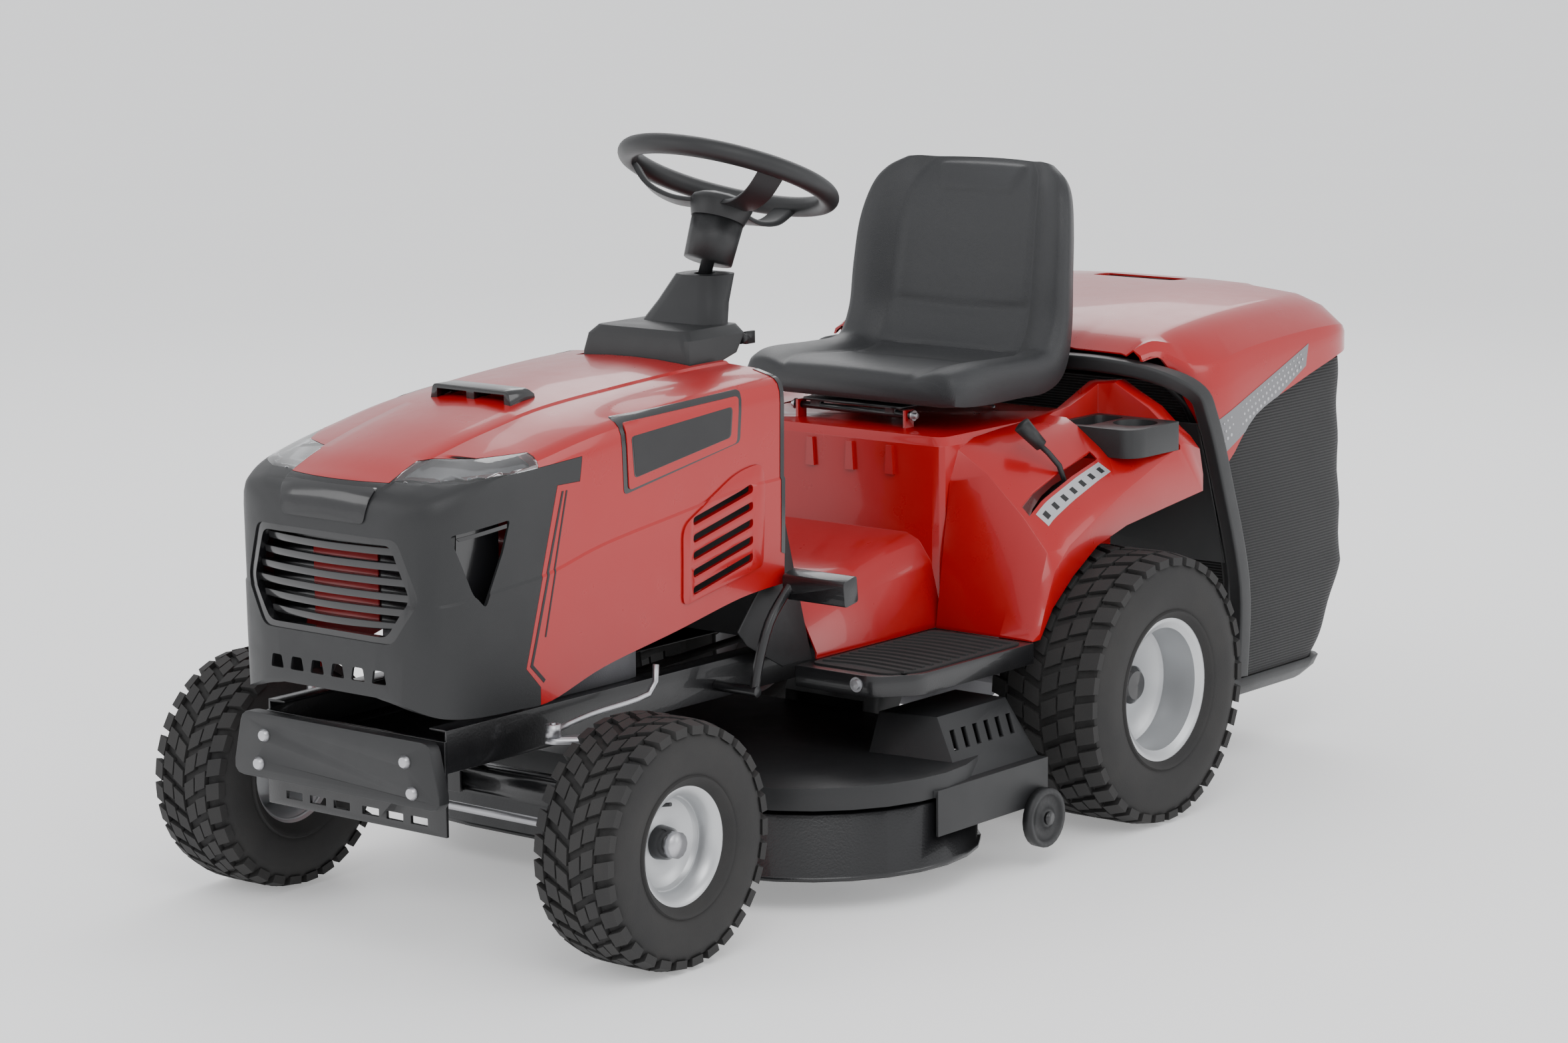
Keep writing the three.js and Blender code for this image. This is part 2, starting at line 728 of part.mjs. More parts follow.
function headlightRegion(grow) {
  const { topFront, topRear, hookRear } = NOSE;
  const slope = (topRear - topFront) / (hookRear + 265);
  const edge = (y) => topFront + slope * (y + 265);
  const { inner, rear, height } = HEADLIGHT;
  const band = slab(
    "side",
    [
      [-300, edge(-300)],
      [rear + grow, edge(rear)],
      [rear + grow, edge(rear) + height + grow],
      [-300, edge(-300) + height + grow],
    ],
    inner - grow,
    300,
  );
  return band;
}

const GRILLE = [
  [-127, 634, 8],
  [-158, 556, 10],
  [-118, 500, 8],
  [118, 500, 8],
  [158, 556, 10],
  [127, 634, 8],
];

function grilleOutline(inset) {
  return outline(
    GRILLE.map(([x, z, rounding]) => [
      x - Math.sign(x) * inset,
      z - Math.sign(z - 556) * inset,
      rounding,
    ]),
  );
}

function noseCowl() {
  const shell = hoodSkin().intersect(noseRegion(0));
  const grilleHole = slab("front", grilleOutline(0), -300, -180);
  const intake = slab(
    "side",
    [
      [-196, 642, 8],
      [-122, 652, 8],
      [-150, 548, 8],
    ],
    150,
    300,
  );
  const slots = [-105, -63, -21, 21, 63, 105].map((x) =>
    slab(
      "front",
      [
        [x - 14, 428],
        [x + 14, 428],
        [x + 10, 448],
        [x - 10, 448],
      ],
      -300,
      -230,
    ),
  );
  return cut(shell, grilleHole, bothSides(intake), ...slots);
}

function grille() {
  const front = -252;
  const rear = -238;
  const plate = slab("front", grilleOutline(GAP), front, rear);
  const slotAt = (i) => {
    const z = 518 + i * 19.5;
    const half = z < 556 ? 118 + (z - 518) * 0.75 : 143 - (z - 556) * 0.34;
    return block([-half, half], [front - 1, rear + 1], [z - 6, z + 6]);
  };
  const post = block([-4, 4], [front + 6, rear], [505, 630]);
  return join(cut(plate, ...[0, 1, 2, 3, 4, 5].map(slotAt)), post);
}

function headlight() {
  return hoodSkin().intersect(headlightRegion(0));
}

const LOUVRE = { count: 5, bottom: 490, pitch: 27, height: 13, front: 285, rear: 425, rise: 34 };
const SCOOP = { half: 78, front: 56, rear: 112, top: 819, wall: 9 };

function hoodShell() {
  const skin = hoodSkin();
  const louvres = [];
  for (let i = 0; i < LOUVRE.count; i += 1) {
    const z = LOUVRE.bottom + i * LOUVRE.pitch;
    const { front, rear, height, rise } = LOUVRE;
    louvres.push(
      slab(
        "side",
        [
          [front, z],
          [rear, z + rise],
          [rear, z + rise + height],
          [front, z + height],
        ],
        -300,
        300,
      ),
    );
  }
  const vent = block([12, SCOOP.half - 20], [SCOOP.front + 14, SCOOP.rear - 12], [750, 850]);
  const { notchHalf, notchFront } = HOOD;
  const dashNotch = block([-notchHalf, notchHalf], [notchFront, HOOD.rear + 1], [780, 900]);
  const nose = noseRegion(GAP);
  return cut(skin, nose, bothSides(headlightRegion(GAP)), ...louvres, bothSides(vent), dashNotch);
}

function hoodScoop() {
  const { half, front, rear, top, wall } = SCOOP;
  const body = slab(
    "front",
    [
      [-half - 8, 780],
      [half + 8, 780],
      [half, top, 8],
      [-half, top, 8],
    ],
    front,
    rear,
  );
  const mouth = block([8, half - wall], [front - 1, rear - wall], [780, top - 7]);
  const slope = slab(
    "side",
    [
      [rear - 20, top + 5],
      [rear + 5, top + 5],
      [rear + 5, top - 14],
    ],
    -200,
    200,
  );
  return cut(body, bothSides(mouth), slope, hoodForm(-GAP));
}

// ---------------------------------------------------------------- dash

const DASH_FRONT = 470;
const DASH_REAR = 514;
const COLUMN_CLEARANCE = 6;

function shaftBore(radius) {
  return inSteeringFrame(
    new THREE.CylinderGeometry(radius, radius, 900, 24).rotateX(Math.PI / 2).translate(0, 0, -350),
  );
}

function rectangleRing(half, front, rear, z, corner) {
  const shape = outline([
    [-half, front, corner],
    [half, front, corner],
    [half, rear, corner],
    [-half, rear, corner],
  ]);
  const points = shape.getPoints(3).slice(0, -1);
  return points.map((p) => new THREE.Vector3(p.x, p.y, z));
}

function dashConsole() {
  const { base, podTop, podRear, neckFront, neckTop } = DASH;
  const low = base + GAP;
  const half = HOOD.notchHalf - 8;
  const front = HOOD.notchFront + 4;
  const shelf = block([-182, 182], [DASH_FRONT + 2, DASH_REAR - 6], [low, base + 12]);
  const podBody = loft([
    rectangleRing(half, front, DASH_REAR - 6, low, 12),
    rectangleRing(half, front, DASH_REAR - 6, base + 24, 12),
    rectangleRing(half, front, DASH_REAR + 46, base + 38, 14),
    rectangleRing(half - 6, front + 4, podRear, podTop - 14, 16),
    rectangleRing(half - 20, front + 14, podRear - 4, podTop, 16),
  ]);
  const neck = loft([
    rectangleRing(80, neckFront, podRear - 2, podTop - 6, 30),
    rectangleRing(62, neckFront + 24, podRear + 24, podTop + 30, 30),
    rectangleRing(44, neckFront + 48, podRear + 60, neckTop, 30),
  ]);
  return cut(join(shelf, podBody, neck), shaftBore(STEERING.shaft + COLUMN_CLEARANCE));
}

// The tower behind the hood that carries the dash, open towards the engine.
function dashPanel() {
  const profile = (inset) => {
    const open = inset * 5;
    return [
      [DASH_FRONT - open, DASH.base - inset],
      [DASH_FRONT - open, 480],
      [DASH_FRONT - 62 - open, 410],
      [DASH_FRONT - 40 - open, 385 - open],
      [DASH_REAR + 3, FLOOR_Z - open],
      [DASH_REAR + 78 - inset, FLOOR_Z - open],
      [DASH_REAR + 38 - inset, 480],
      [DASH_REAR - inset, 620],
      [DASH_REAR - inset, DASH.base - inset],
    ];
  };
  const outer = slab("side", profile(0), -DASH.half, DASH.half);
  const inner = slab("side", profile(WALL), -DASH.half + WALL, DASH.half - WALL);
  return cut(outer, inner, shaftBore(STEERING.shaft + COLUMN_CLEARANCE), railSpace());
}

const DASH_CONTROLS = { x: 88, y: DASH.podRear + 10, z: 842 };

function throttleLever() {
  const { x, y, z } = DASH_CONTROLS;
  const foot = rod([-x - 12, y, z], [-x + 12, y, z], 8);
  const stem = rod([-x, y, z], [-x, y + 28, z + 16], 4, 10);
  const knob = rod([-x, y + 22, z + 12], [-x, y + 40, z + 22], 9);
  return join(foot, stem, knob);
}

function ignitionKey() {
  const { x, y, z } = DASH_CONTROLS;
  const barrel = rod([x, y - 8, z], [x, y + 4, z], 9);
  const bow = block([x - 3, x + 3], [y + 3, y + 26], [z - 10, z + 10]);
  return join(barrel, bow);
}

// ---------------------------------------------------------------- rear body, floor and seat

// Fender stations: y, then the skin's height at x = 240, 300, 370, 420 and 435.
const FENDER_X = [SEAT_PAN.half, 300, 370, 420, FENDER.outer];
const FENDER_STATIONS = [
  [905, 344, 343, 342, 341, 340],
  [925, 470, 430, 380, 356, 348],
  [943, 575, 530, 462, 412, 392],
  [968, 628, 592, 530, 474, 446],
  [1010, 644, 618, 556, 508, 482],
  [1087, 650, 636, 582, 540, 516],
  [1164, 654, 652, 602, 566, 548],
  [1250, 664, 678, 640, 596, 578],
  [1345, 700, 706, 668, 628, 610],
  [FENDER.rear, 702, 704, 660, 610, 590],
];

function fenderForm(inset) {
  const rings = FENDER_STATIONS.map(([y, ...heights], i) => {
    const front = i < 3 ? inset : 0;
    const rear = i === FENDER_STATIONS.length - 1 ? inset * 4 : 0;
    const inner = FENDER_X[0] + inset;
    const outer = FENDER_X.at(-1) - inset;
    const top = FENDER_X.map((x, k) => [
      Math.min(Math.max(x, inner), outer),
      heights[k] - inset,
    ]);
    const low = 300 - inset;
    const section = [[inner, low], ...top, [outer, low]];
    return section.map(([x, z]) => new THREE.Vector3(x, y + front + rear, z));
  });
  return loft(rings);
}

function tunnelRing(y, base, shoulder, half, top, inset) {
  const low = 300 - inset;
  const side = [
    [base - inset, low],
    [base - inset, FLOOR_Z + 10],
    [shoulder - inset, top - 42],
    [half + 10 - inset, top - 10 - inset],
    [half - 14, top - inset],
  ];
  const other = side.map(([x, z]) => [-x, z]).reverse();
  return [...side, ...other].map(([x, z]) => new THREE.Vector3(x, y, z));
}

function tunnelForm(inset) {
  return loft([
    tunnelRing(DASH_REAR + 80 - inset - REAR_SHIFT, 236, 205, 160, 448, inset),
    tunnelRing(760 - REAR_SHIFT / 2, 236, 208, 168, 462, inset),
    tunnelRing(SEAT_PAN.front + 20, 236, 214, 180, 492, inset),
  ]);
}

function panForm(inset) {
  const half = SEAT_PAN.half - inset;
  const front = SEAT_PAN.front + inset;
  return loft([
    rectangleRing(half, front, SEAT_PAN.rear - inset, 300 - inset, 22),
    rectangleRing(half, front, SEAT_PAN.rear - inset, SEAT_PAN.top - 14 - inset, 22),
    rectangleRing(half - 10, front + 10, SEAT_PAN.rear - inset - 10, SEAT_PAN.top - inset, 22),
  ]);
}

function cupPocket(inset) {
  return block(
    [CUP.inner - GAP - inset, CUP.outer + 20],
    [CUP.front - GAP - inset, CUP.rear + GAP + inset],
    [CUP.bottom - GAP - inset, 800],
  );
}

// The wheel opening under the left fender, seen from the side.
function wheelOpening() {
  return slab(
    "side",
    [
      [880, 290],
      [926, 336],
      [962, 384],
      [1021, 430],
      [1090, 470],
      [1175, 492],
      [1290, 506],
      [1402, 519],
      [1460, 519],
      [1460, 290],
    ],
    SEAT_PAN.half + WALL * 2,
    500,
  );
}

const HEIGHT_SLOT = { x: 369, half: 8, front: 978, rear: 1172 };
const GEAR_SLOT = { x: -330, half: 9, front: 1144, rear: 1192 };

function rearBody() {
  const fenders = (inset) => bothSides(cut(fenderForm(inset), cupPocket(inset)));
  const outer = join(panForm(0), tunnelForm(0), fenders(0));
  const inner = join(panForm(WALL), tunnelForm(WALL), fenders(WALL));
  const rearSlope = slab(
    "side",
    [
      [1352, 760],
      [1470, 760],
      [1470, 440],
      [1432, 440],
    ],
    -500,
    500,
  );
  const floorCut = block([-500, 500], [500 - REAR_SHIFT, 1500], [200, FLOOR_Z]);
  const chuteHole = block(
    [CHUTE.right - 8, CHUTE.left + 8],
    [SEAT_PAN.rear - 30, SEAT_PAN.rear + 10],
    [200, 612],
  );
  const heightSlot = block(
    [HEIGHT_SLOT.x - HEIGHT_SLOT.half, HEIGHT_SLOT.x + HEIGHT_SLOT.half],
    [HEIGHT_SLOT.front, HEIGHT_SLOT.rear],
    [480, 700],
  );
  const gearSlot = block(
    [GEAR_SLOT.x - GEAR_SLOT.half, GEAR_SLOT.x + GEAR_SLOT.half],
    [GEAR_SLOT.front, GEAR_SLOT.rear],
    [560, 720],
  );
  const ear = block([112, 118], [SEAT_HINGE.y - 11, SEAT_HINGE.y + 11], [640, SEAT_HINGE.z + 9]);
  const earHole = rod(
    [100, SEAT_HINGE.y, SEAT_HINGE.z],
    [130, SEAT_HINGE.y, SEAT_HINGE.z],
    SEAT_HINGE.radius + RUNNING,
  );
  const shell = cut(outer, inner, bothSides(wheelOpening()), rearSlope, floorCut, railSpace());
  return join(cut(shell, chuteHole, heightSlot, gearSlot), bothSides(cut(ear, earHole)));
}

const FOOTBOARD = { inner: 236 + GAP, outer: 440, front: 538, rear: 902 + REAR_SHIFT, sheet: 4, lip: 34 };

function footboard() {
  const { inner, outer, front, rear, sheet, lip } = FOOTBOARD;
  const shape = (inset) =>
    outline([
      [inner, front + inset],
      [390 - inset, front + inset, 20],
      [outer - inset, front + 60, 20],
      [outer - inset, rear + inset * 3],
      [inner, rear + inset * 3],
    ]);
  const top = FLOOR_Z - GAP;
  const solid = slab("plan", shape(0), top - lip, top);
  const hollow = slab("plan", shape(sheet), top - lip - 1, top - sheet);
  return cut(solid, hollow);
}

const SEAT_HINGE = { y: 996, z: 672, radius: 6 };
const SEAT_PLATE = { bottom: 681, top: 686, half: 105, rear: 1278 };
const SPRING = { x: 92, y: 1247, radius: 15, wire: 2.4, turns: 3 };

function seatBracket() {
  const { y, z, radius } = SEAT_HINGE;
  const bar = rod([-124, y, z], [124, y, z], radius, 12);
  const plate = block(
    [-SEAT_PLATE.half, SEAT_PLATE.half],
    [y - 6, SEAT_PLATE.rear],
    [SEAT_PLATE.bottom, SEAT_PLATE.top],
  );
  const lug = block([70, 90], [y - 6, y + 6], [z, SEAT_PLATE.bottom + 1]);
  return join(bar, plate, bothSides(lug));
}

// Seat stations: y, z, lean of the section, thickness, half width, dish of the top face, rearward bow.
const SEAT_STATIONS = [
  [972, 716, 0, 26, 205, 0, 0],
  [986, 719, 0, 54, 228, 2, 0],
  [1040, 722, 0, 68, 240, 8, 0],
  [1150, 721, 0, 66, 240, 14, 0],
  [1222, 722, 8, 66, 240, 16, 4],
  [1266, 742, 42, 62, 238, 14, 14],
  [1289, 800, 76, 50, 235, 8, 28],
  [1297, 880, 82, 46, 232, 6, 38],
  [1308, 957, 82, 44, 226, 5, 42],
  [1325, 1015, 76, 40, 212, 4, 44],
  [1340, 1046, 70, 30, 192, 2, 46],
  [1352, 1066, 66, 14, 160, 0, 46],
];

function seat() {
  const rings = SEAT_STATIONS.map(([y, z, lean, thickness, half, dish, bow]) => {
    const angle = THREE.MathUtils.degToRad(lean);
    const t = thickness / 2;
    const side = [
      [half - 14, -t],
      [half, -t + Math.min(12, t)],
      [half, t - Math.min(14, t) + 4],
      [half - 12, t + 4],
      [half * 0.74, t],
      [half * 0.4, t - dish],
    ];
    const other = side.map(([u, v]) => [-u, v]).reverse();
    return [...side, ...other].map(([u, v]) => {
      const back = bow * (1 - (u / half) ** 2);
      return new THREE.Vector3(u, y + back - v * Math.sin(angle), z + v * Math.cos(angle));
    });
  });
  const floor = block([-300, 300], [900, 1400], [600, SEAT_PLATE.top + GAP]);
  return cut(loft(rings), floor);
}

class Helix extends THREE.Curve {
  constructor({ radius, turns }, height) {
    super();
    this.radius = radius;
    this.turns = turns;
    this.height = height;
  }

  getPoint(t, target = new THREE.Vector3()) {
    const angle = t * this.turns * 2 * Math.PI;
    return target.set(
      this.radius * Math.cos(angle),
      this.radius * Math.sin(angle),
      this.height * t,
    );
  }
}

function seatSpring() {
  const low = SEAT_PAN.top + GAP + SPRING.wire;
  const high = SEAT_PLATE.bottom - GAP - SPRING.wire;
  const section = new THREE.Shape(
    new THREE.EllipseCurve(0, 0, SPRING.wire, SPRING.wire).getPoints(5),
  );
  const geometry = new THREE.ExtrudeGeometry(section, {
    steps: SPRING.turns * 10,
    extrudePath: new Helix(SPRING, high - low),
  });
  geometry.translate(SPRING.x, SPRING.y, low);
  return solidOf(geometry);
}

function cupHolder() {
  const { inner, outer, front, rear, bottom, top, well } = CUP;
  const body = slab(
    "plan",
    [
      [inner, front, 14],
      [outer - 16, front, 14],
      [outer, front + 24, 14],
      [outer, rear, 10],
      [inner, rear, 10],
    ],
    bottom,
    top,
  );
  const middle = (front + rear) / 2;
  const cup = rod([outer - 54, middle + 14, bottom + 6], [outer - 54, middle + 14, top + 1], well, 24);
  const tray = slab(
    "plan",
    [
      [inner + 12, front + 14, 16],
      [inner + 68, front + 14, 16],
      [inner + 68, rear - 14, 16],
      [inner + 12, rear - 14, 16],
    ],
    bottom + 14,
    top + 1,
  );
  return cut(body, cup, tray);
}

// ---------------------------------------------------------------- levers and pedal

const HEIGHT_PIVOT = [1110, 400];

function heightLever() {
  const [y, z] = HEIGHT_PIVOT;
  const pivot = rod([SEAT_PAN.half + 9, y, z], [290, y, z], 12);
  const lower = bentRod(
    [
      [276, y, z],
      [292, 1104, 500],
      [330, 1096, 548],
      [HEIGHT_SLOT.x, 1089, 574],
      [362, 1075, 606],
      [340, 1046, 642],
    ],
    5,
  );
  const knob = rod([346, 1054, 634], [326, 1027, 670], 11, 12, 15);
  return join(pivot, lower, knob);
}

const GEAR_PIVOT = [1170, 560];

function gearLever() {
  const [y, z] = GEAR_PIVOT;
  const pivot = rod([-336, y, z], [-SEAT_PAN.half - 9, y, z], 8, 12);
  const shaft = rod([GEAR_SLOT.x, y, z], [GEAR_SLOT.x, y, 690], 5, 10);
  const knob = rod([GEAR_SLOT.x, y, 684], [GEAR_SLOT.x, y, 722], 12, 12, 17);
  return join(pivot, shaft, knob);
}

const PEDAL_PIVOT = { x: 262, y: 404, z: 322 };

function brakePedal() {
  const { x, y, z } = PEDAL_PIVOT;
  const pivot = rod([RAIL.outer + GAP, y, z], [x + 8, y, z], 9, 12);
  const arm = bentRod(
    [
      [x, y, z],
      [x, 420, 375],
      [x, 446, 428],
      [x, 494, 474],
    ],
    8,
  );
  const pad = slab(
    "side",
    [
      [492, 452, 6],
      [526, 458, 6],
      [522, 500, 6],
      [488, 492, 6],
    ],
    x - 10,
    x + 112,
  );
  return join(pivot, arm, pad);
}

// ---------------------------------------------------------------- cutting deck

function stadium(radius, lobe, low, high) {
  const shape = new THREE.Shape();
  shape.absarc(lobe, DECK.y, radius, -Math.PI / 2, Math.PI / 2);
  shape.absarc(-lobe, DECK.y, radius, Math.PI / 2, (3 * Math.PI) / 2);
  return slab("plan", shape, low, high, 7);
}

const DECK_SIDE = DECK.lobe + DECK.radius;
const DECK_BACK = DECK.y + DECK.radius;
const SCALP = { x: DECK_SIDE + 9, width: 16, y: DECK_BACK - 21, z: 80, radius: 48, pin: 6 };

function deckShell() {
  const { lobe, radius, skirt, top, y, shaft } = DECK;
  const outer = join(
    stadium(radius, lobe, skirt, top),
    stadium(radius + 5, lobe, skirt, skirt + 7),
  );
  const hollow = stadium(radius - WALL, lobe, skirt - 1, top - WALL);
  const boss = rod([lobe, y, top - 26], [lobe, y, top + 6], 34, 20);
  const bore = rod([lobe, y, 0], [lobe, y, 300], shaft + RUNNING, 20);
  const outlet = block(
    [CHUTE.right + 4, CHUTE.left - 4],
    [y + radius - 60, y + radius + 20],
    [skirt + 14, top - WALL],
  );
  const arm = block([DECK_SIDE - 182, DECK_SIDE], [SCALP.y - 14, SCALP.y + 8], [top - 16, top]);
  const ear = block([DECK_SIDE - 7, DECK_SIDE], [SCALP.y - 14, SCALP.y + 14], [SCALP.z - 14, top]);
  const pin = rod(
    [DECK_SIDE - 4, SCALP.y, SCALP.z],
    [SCALP.x + SCALP.width + 3, SCALP.y, SCALP.z],
    SCALP.pin,
    12,
  );
  const head = rod(
    [SCALP.x + SCALP.width + 1, SCALP.y, SCALP.z],
    [SCALP.x + SCALP.width + 5, SCALP.y, SCALP.z],
    11,
    12,
  );
  const shell = cut(join(cut(outer, hollow), bothSides(boss)), bothSides(bore), outlet);
  return join(shell, bothSides(join(arm, ear, pin, head)));
}

const COVER = {
  bottom: DECK.top + 8,
  top: 198,
  side: DECK_SIDE + 8.5,
  front: DECK.y - 29,
  rear: DECK_BACK + 2,
  low: 101,
};

function coverForm(inset) {
  const { top, side, front, rear } = COVER;
  const low = 60;
  const plate = stadium(DECK.radius + 4 - inset, DECK.lobe, low, top - inset);
  const wing = slab(
    "plan",
    [
      [side - 220.5, front + inset],
      [side - inset, front + inset],
      [side - inset, rear - inset],
      [side - 220.5, rear - inset],
    ],
    low,
    top - 24 - inset,
  );
  const hump = loft([
    humpRing(side - 190 + inset, side - 8 - inset, front + 54 + inset, rear - inset, top - 40 - inset),
    humpRing(side - 180 + inset, side - 80 - inset, front + 84 + inset, rear - 6 - inset, 262 - inset),
  ]);
  return join(plate, bothSides(wing), bothSides(hump));
}

function humpRing(x0, x1, y0, y1, z) {
  return [
    new THREE.Vector3(x0, y0, z),
    new THREE.Vector3(x1, y0 + 20, z),
    new THREE.Vector3(x1, y1, z),
    new THREE.Vector3(x0, y1, z),
  ];
}

function deckCover() {
  const { bottom, low, front, rear, side } = COVER;
  const shell = cut(coverForm(0), coverForm(WALL));
  const under = stadium(DECK.radius + 40, DECK.lobe, 40, bottom);
  const sideStrip = block([side - WALL - 0.5, side + 1], [front, rear], [low, 400]);
  const slice = block([-600, 600], [front - 10, rear + 10], [40, bottom]);
  const below = cut(join(under, slice), bothSides(sideStrip));
  const skirtCut = block([-600, 600], [200, 900], [30, low]);
  const louvres = [];
  for (let i = 0; i < 6; i += 1) {
    const y = front + 104 + i * 30;
    louvres.push(
      slab(
        "side",
        [
          [y, 212],
          [y + 13, 212],
          [y + 25, 240],
          [y + 12, 240],
        ],
        side - 90,
        side,
      ),
    );
  }
  return cut(shell, below, skirtCut, bothSides(join(...louvres)));
}

function blade() {
  const { lobe, y, shaft, pulley, top } = DECK;
  const spindle = rod([lobe, y, 66], [lobe, y, top + 30], shaft);
  const cutter = slab(
    "plan",
    [
      [lobe - DECK.blade, y - 26],
      [lobe - 60, y - 30],
      [lobe + DECK.blade - 4, y - 26],
      [lobe + DECK.blade - 4, y + 26],
      [lobe + 60, y + 30],
      [lobe - DECK.blade, y + 26],
    ],
    72,
    77,
  );
  const swept = rod([lobe, y, 60], [lobe, y, 100], DECK.blade, 48);
  const wheel = rod([lobe, y, top + 10], [lobe, y, top + 26], pulley - GAP, 20);
  return join(spindle, cutter.intersect(swept), wheel);
}

function deckBelt() {
  const low = DECK.top + 12;
  return belt([-DECK.lobe, DECK.y], [DECK.lobe, DECK.y], DECK.pulley, 7, low, low + 12);
}

function scalpWheel() {
  const { x, width, y, z, radius, pin } = SCALP;
  const disc = rod([x, y, z], [x + width, y, z], radius, 24);
  const dish = rod([x + width - 5, y, z], [x + width + 1, y, z], radius - 9, 24);
  const hub = rod([x + width - 6, y, z], [x + width, y, z], 15, 16);
  const bore = rod([x - 1, y, z], [x + width + 2, y, z], pin + RUNNING, 16);
  return cut(join(cut(disc, dish), hub), bore);
}

// ---------------------------------------------------------------- chute, surround and collector

function chuteRing(y, low, high, inset) {
  return [
    new THREE.Vector3(CHUTE.right + inset, y, low + inset),
    new THREE.Vector3(CHUTE.left - inset, y, low + inset),
    new THREE.Vector3(CHUTE.left - inset, y, high - inset),
    new THREE.Vector3(CHUTE.right + inset, y, high - inset),
  ];
}

function dischargeChute() {
  const rings = (inset, reach) => [
    chuteRing(DECK_BACK + 13 - reach - REAR_SHIFT, 66, 214, inset),
    chuteRing(DECK_BACK + 53 - REAR_SHIFT, 84, 300, inset),
    chuteRing(960, 238, 420, inset),
    chuteRing(1035, 376, 478, inset),
    chuteRing(1180, 392, 520, inset),
    chuteRing(1424 + reach, 426, 596, inset),
  ];
  return cut(loft(rings(0, 0)), loft(rings(WALL, 1)));
}

// The arch's centre line from the left foot up to the middle of its top bar.
const ARCH = [
  [420, 1536, 172],
  [420, 1540, 334],
  [420, 1478, 531],
  [417, 1438, 640],
  [404, 1420, 684],
  [356, 1372, 716],
  [270, 1348, 729],
  [150, 1345, 730],
];
const ARCH_HALF = { depth: 14, thick: 15 };

function rearSurround() {
  const line = [...ARCH, ...ARCH.map(([x, y, z]) => [-x, y, z]).reverse()];
  const { depth, thick } = ARCH_HALF;
  const rings = line.map(([x, y, z], i) => {
    const before = line[Math.max(i - 1, 0)];
    const after = line[Math.min(i + 1, line.length - 1)];
    const along = new THREE.Vector2(after[0] - before[0], after[2] - before[2]).normalize();
    const outX = along.y * thick;
    const outZ = -along.x * thick;
    return [
      new THREE.Vector3(x + outX, y - depth, z + outZ),
      new THREE.Vector3(x + outX, y + depth, z + outZ),
      new THREE.Vector3(x - outX, y + depth, z - outZ),
      new THREE.Vector3(x - outX, y - depth, z - outZ),
    ];
  });
  return loft(rings);
}

// The plate inside the arch, with the chute's mouth.
function rearPlate() {
  const front = [
    [1526, 372],
    [1474, 531],
    [1438, 628],
  ];
  const back = front.map(([y, z]) => [y + WALL, z]).reverse();
  const plate = slab("side", [...front, ...back], -400, 400);
  const mouth = block([CHUTE.right - 8, CHUTE.left + 8], [1400, 1600], [414, 608]);
  return cut(plate, mouth);
}

// Lid stations: y, half width, lower edge, side top, shoulder x, shoulder height, middle height.
const LID_STATIONS = [
  [1366, 336, 738, 744, 296, 750, 752],
  [1406, 350, 738, 748, 306, 770, 776],
  [1450, 388, 640, 724, 314, 780, 790],
  [1516, 402, 544, 728, 318, 790, 802],
  [1620, 403, 622, 740, 318, 799, 812],
  [1770, 402, 666, 748, 312, 804, 818],
  [1890, 398, 694, 748, 300, 802, 814],
  [1950, 380, 700, 740, 285, 794, 808],
  [1985, 350, 702, 730, 262, 778, 794],
  [COLLECTOR.rear, 290, 704, 718, 220, 744, 754],
];

function lidForm(inset, reach) {
  const rings = LID_STATIONS.map(([y, half, low, edge, shoulderX, shoulderZ, top], i) => {
    const front = i === 0 ? -reach : 0;
    const rear = i > 6 ? -inset : 0;
    const side = [
      [half - inset, low - reach * 6],
      [half - inset, edge - inset],
      [shoulderX, shoulderZ - inset],
      [shoulderX * 0.5, top - inset],
    ];
    const other = side.map(([x, z]) => [-x, z]).reverse();
    return [...side, ...other].map(([x, z]) => new THREE.Vector3(x, y + front + rear, z));
  });
  return loft(rings);
}

const LID_GRIP = { half: 90, front: 1826, rear: 1884, depth: 16 };

function collectorLid() {
  const { half, front, rear, depth } = LID_GRIP;
  const shell = cut(lidForm(0, 0), lidForm(WALL, 6));
  const floor = LID_STATIONS[5][6] - depth;
  const cup = block(
    [-half - 3, half + 3],
    [front - 3, rear + 3],
    [floor - 12, floor + depth - 2],
  );
  const recess = block([-half, half], [front, rear], [floor, 900]);
  return cut(join(shell, cup), recess);
}

// Bag stations: height, half width, front and rear.
const BAG_STATIONS = [
  [150, 384, 1594, 1890],
  [200, 392, 1592, 1915],
  [300, 396, 1592, 1962],
  [345, 396, 1592, 1966],
  [535, 394, 1532, 1958],
  [640, 391, 1494, 1962],
  [688, 388, 1474, 1966],
];

function bagForm(inset, reach) {
  const rings = BAG_STATIONS.map(([z, half, front, rear], i) => {
    const ends = BAG_STATIONS.length - 1;
    const lift = (i === 0 ? inset : 0) + (i === ends ? reach : 0);
    const shape = outline([
      [inset - half, front - reach],
      [half - inset, front - reach],
      [half - inset, rear - inset, 70],
      [inset - half, rear - inset, 70],
    ]);
    return shape.getPoints(4).slice(0, -1).map((p) => new THREE.Vector3(p.x, p.y, z + lift));
  });
  return loft(rings);
}

function collectorBag() {
  return cut(bagForm(0, 0), bagForm(COLLECTOR.wall, 12));
}

const TRAY = { bottom: 112, top: 150 - GAP, front: 1564, rear: 1896, half: 386, wall: 5 };

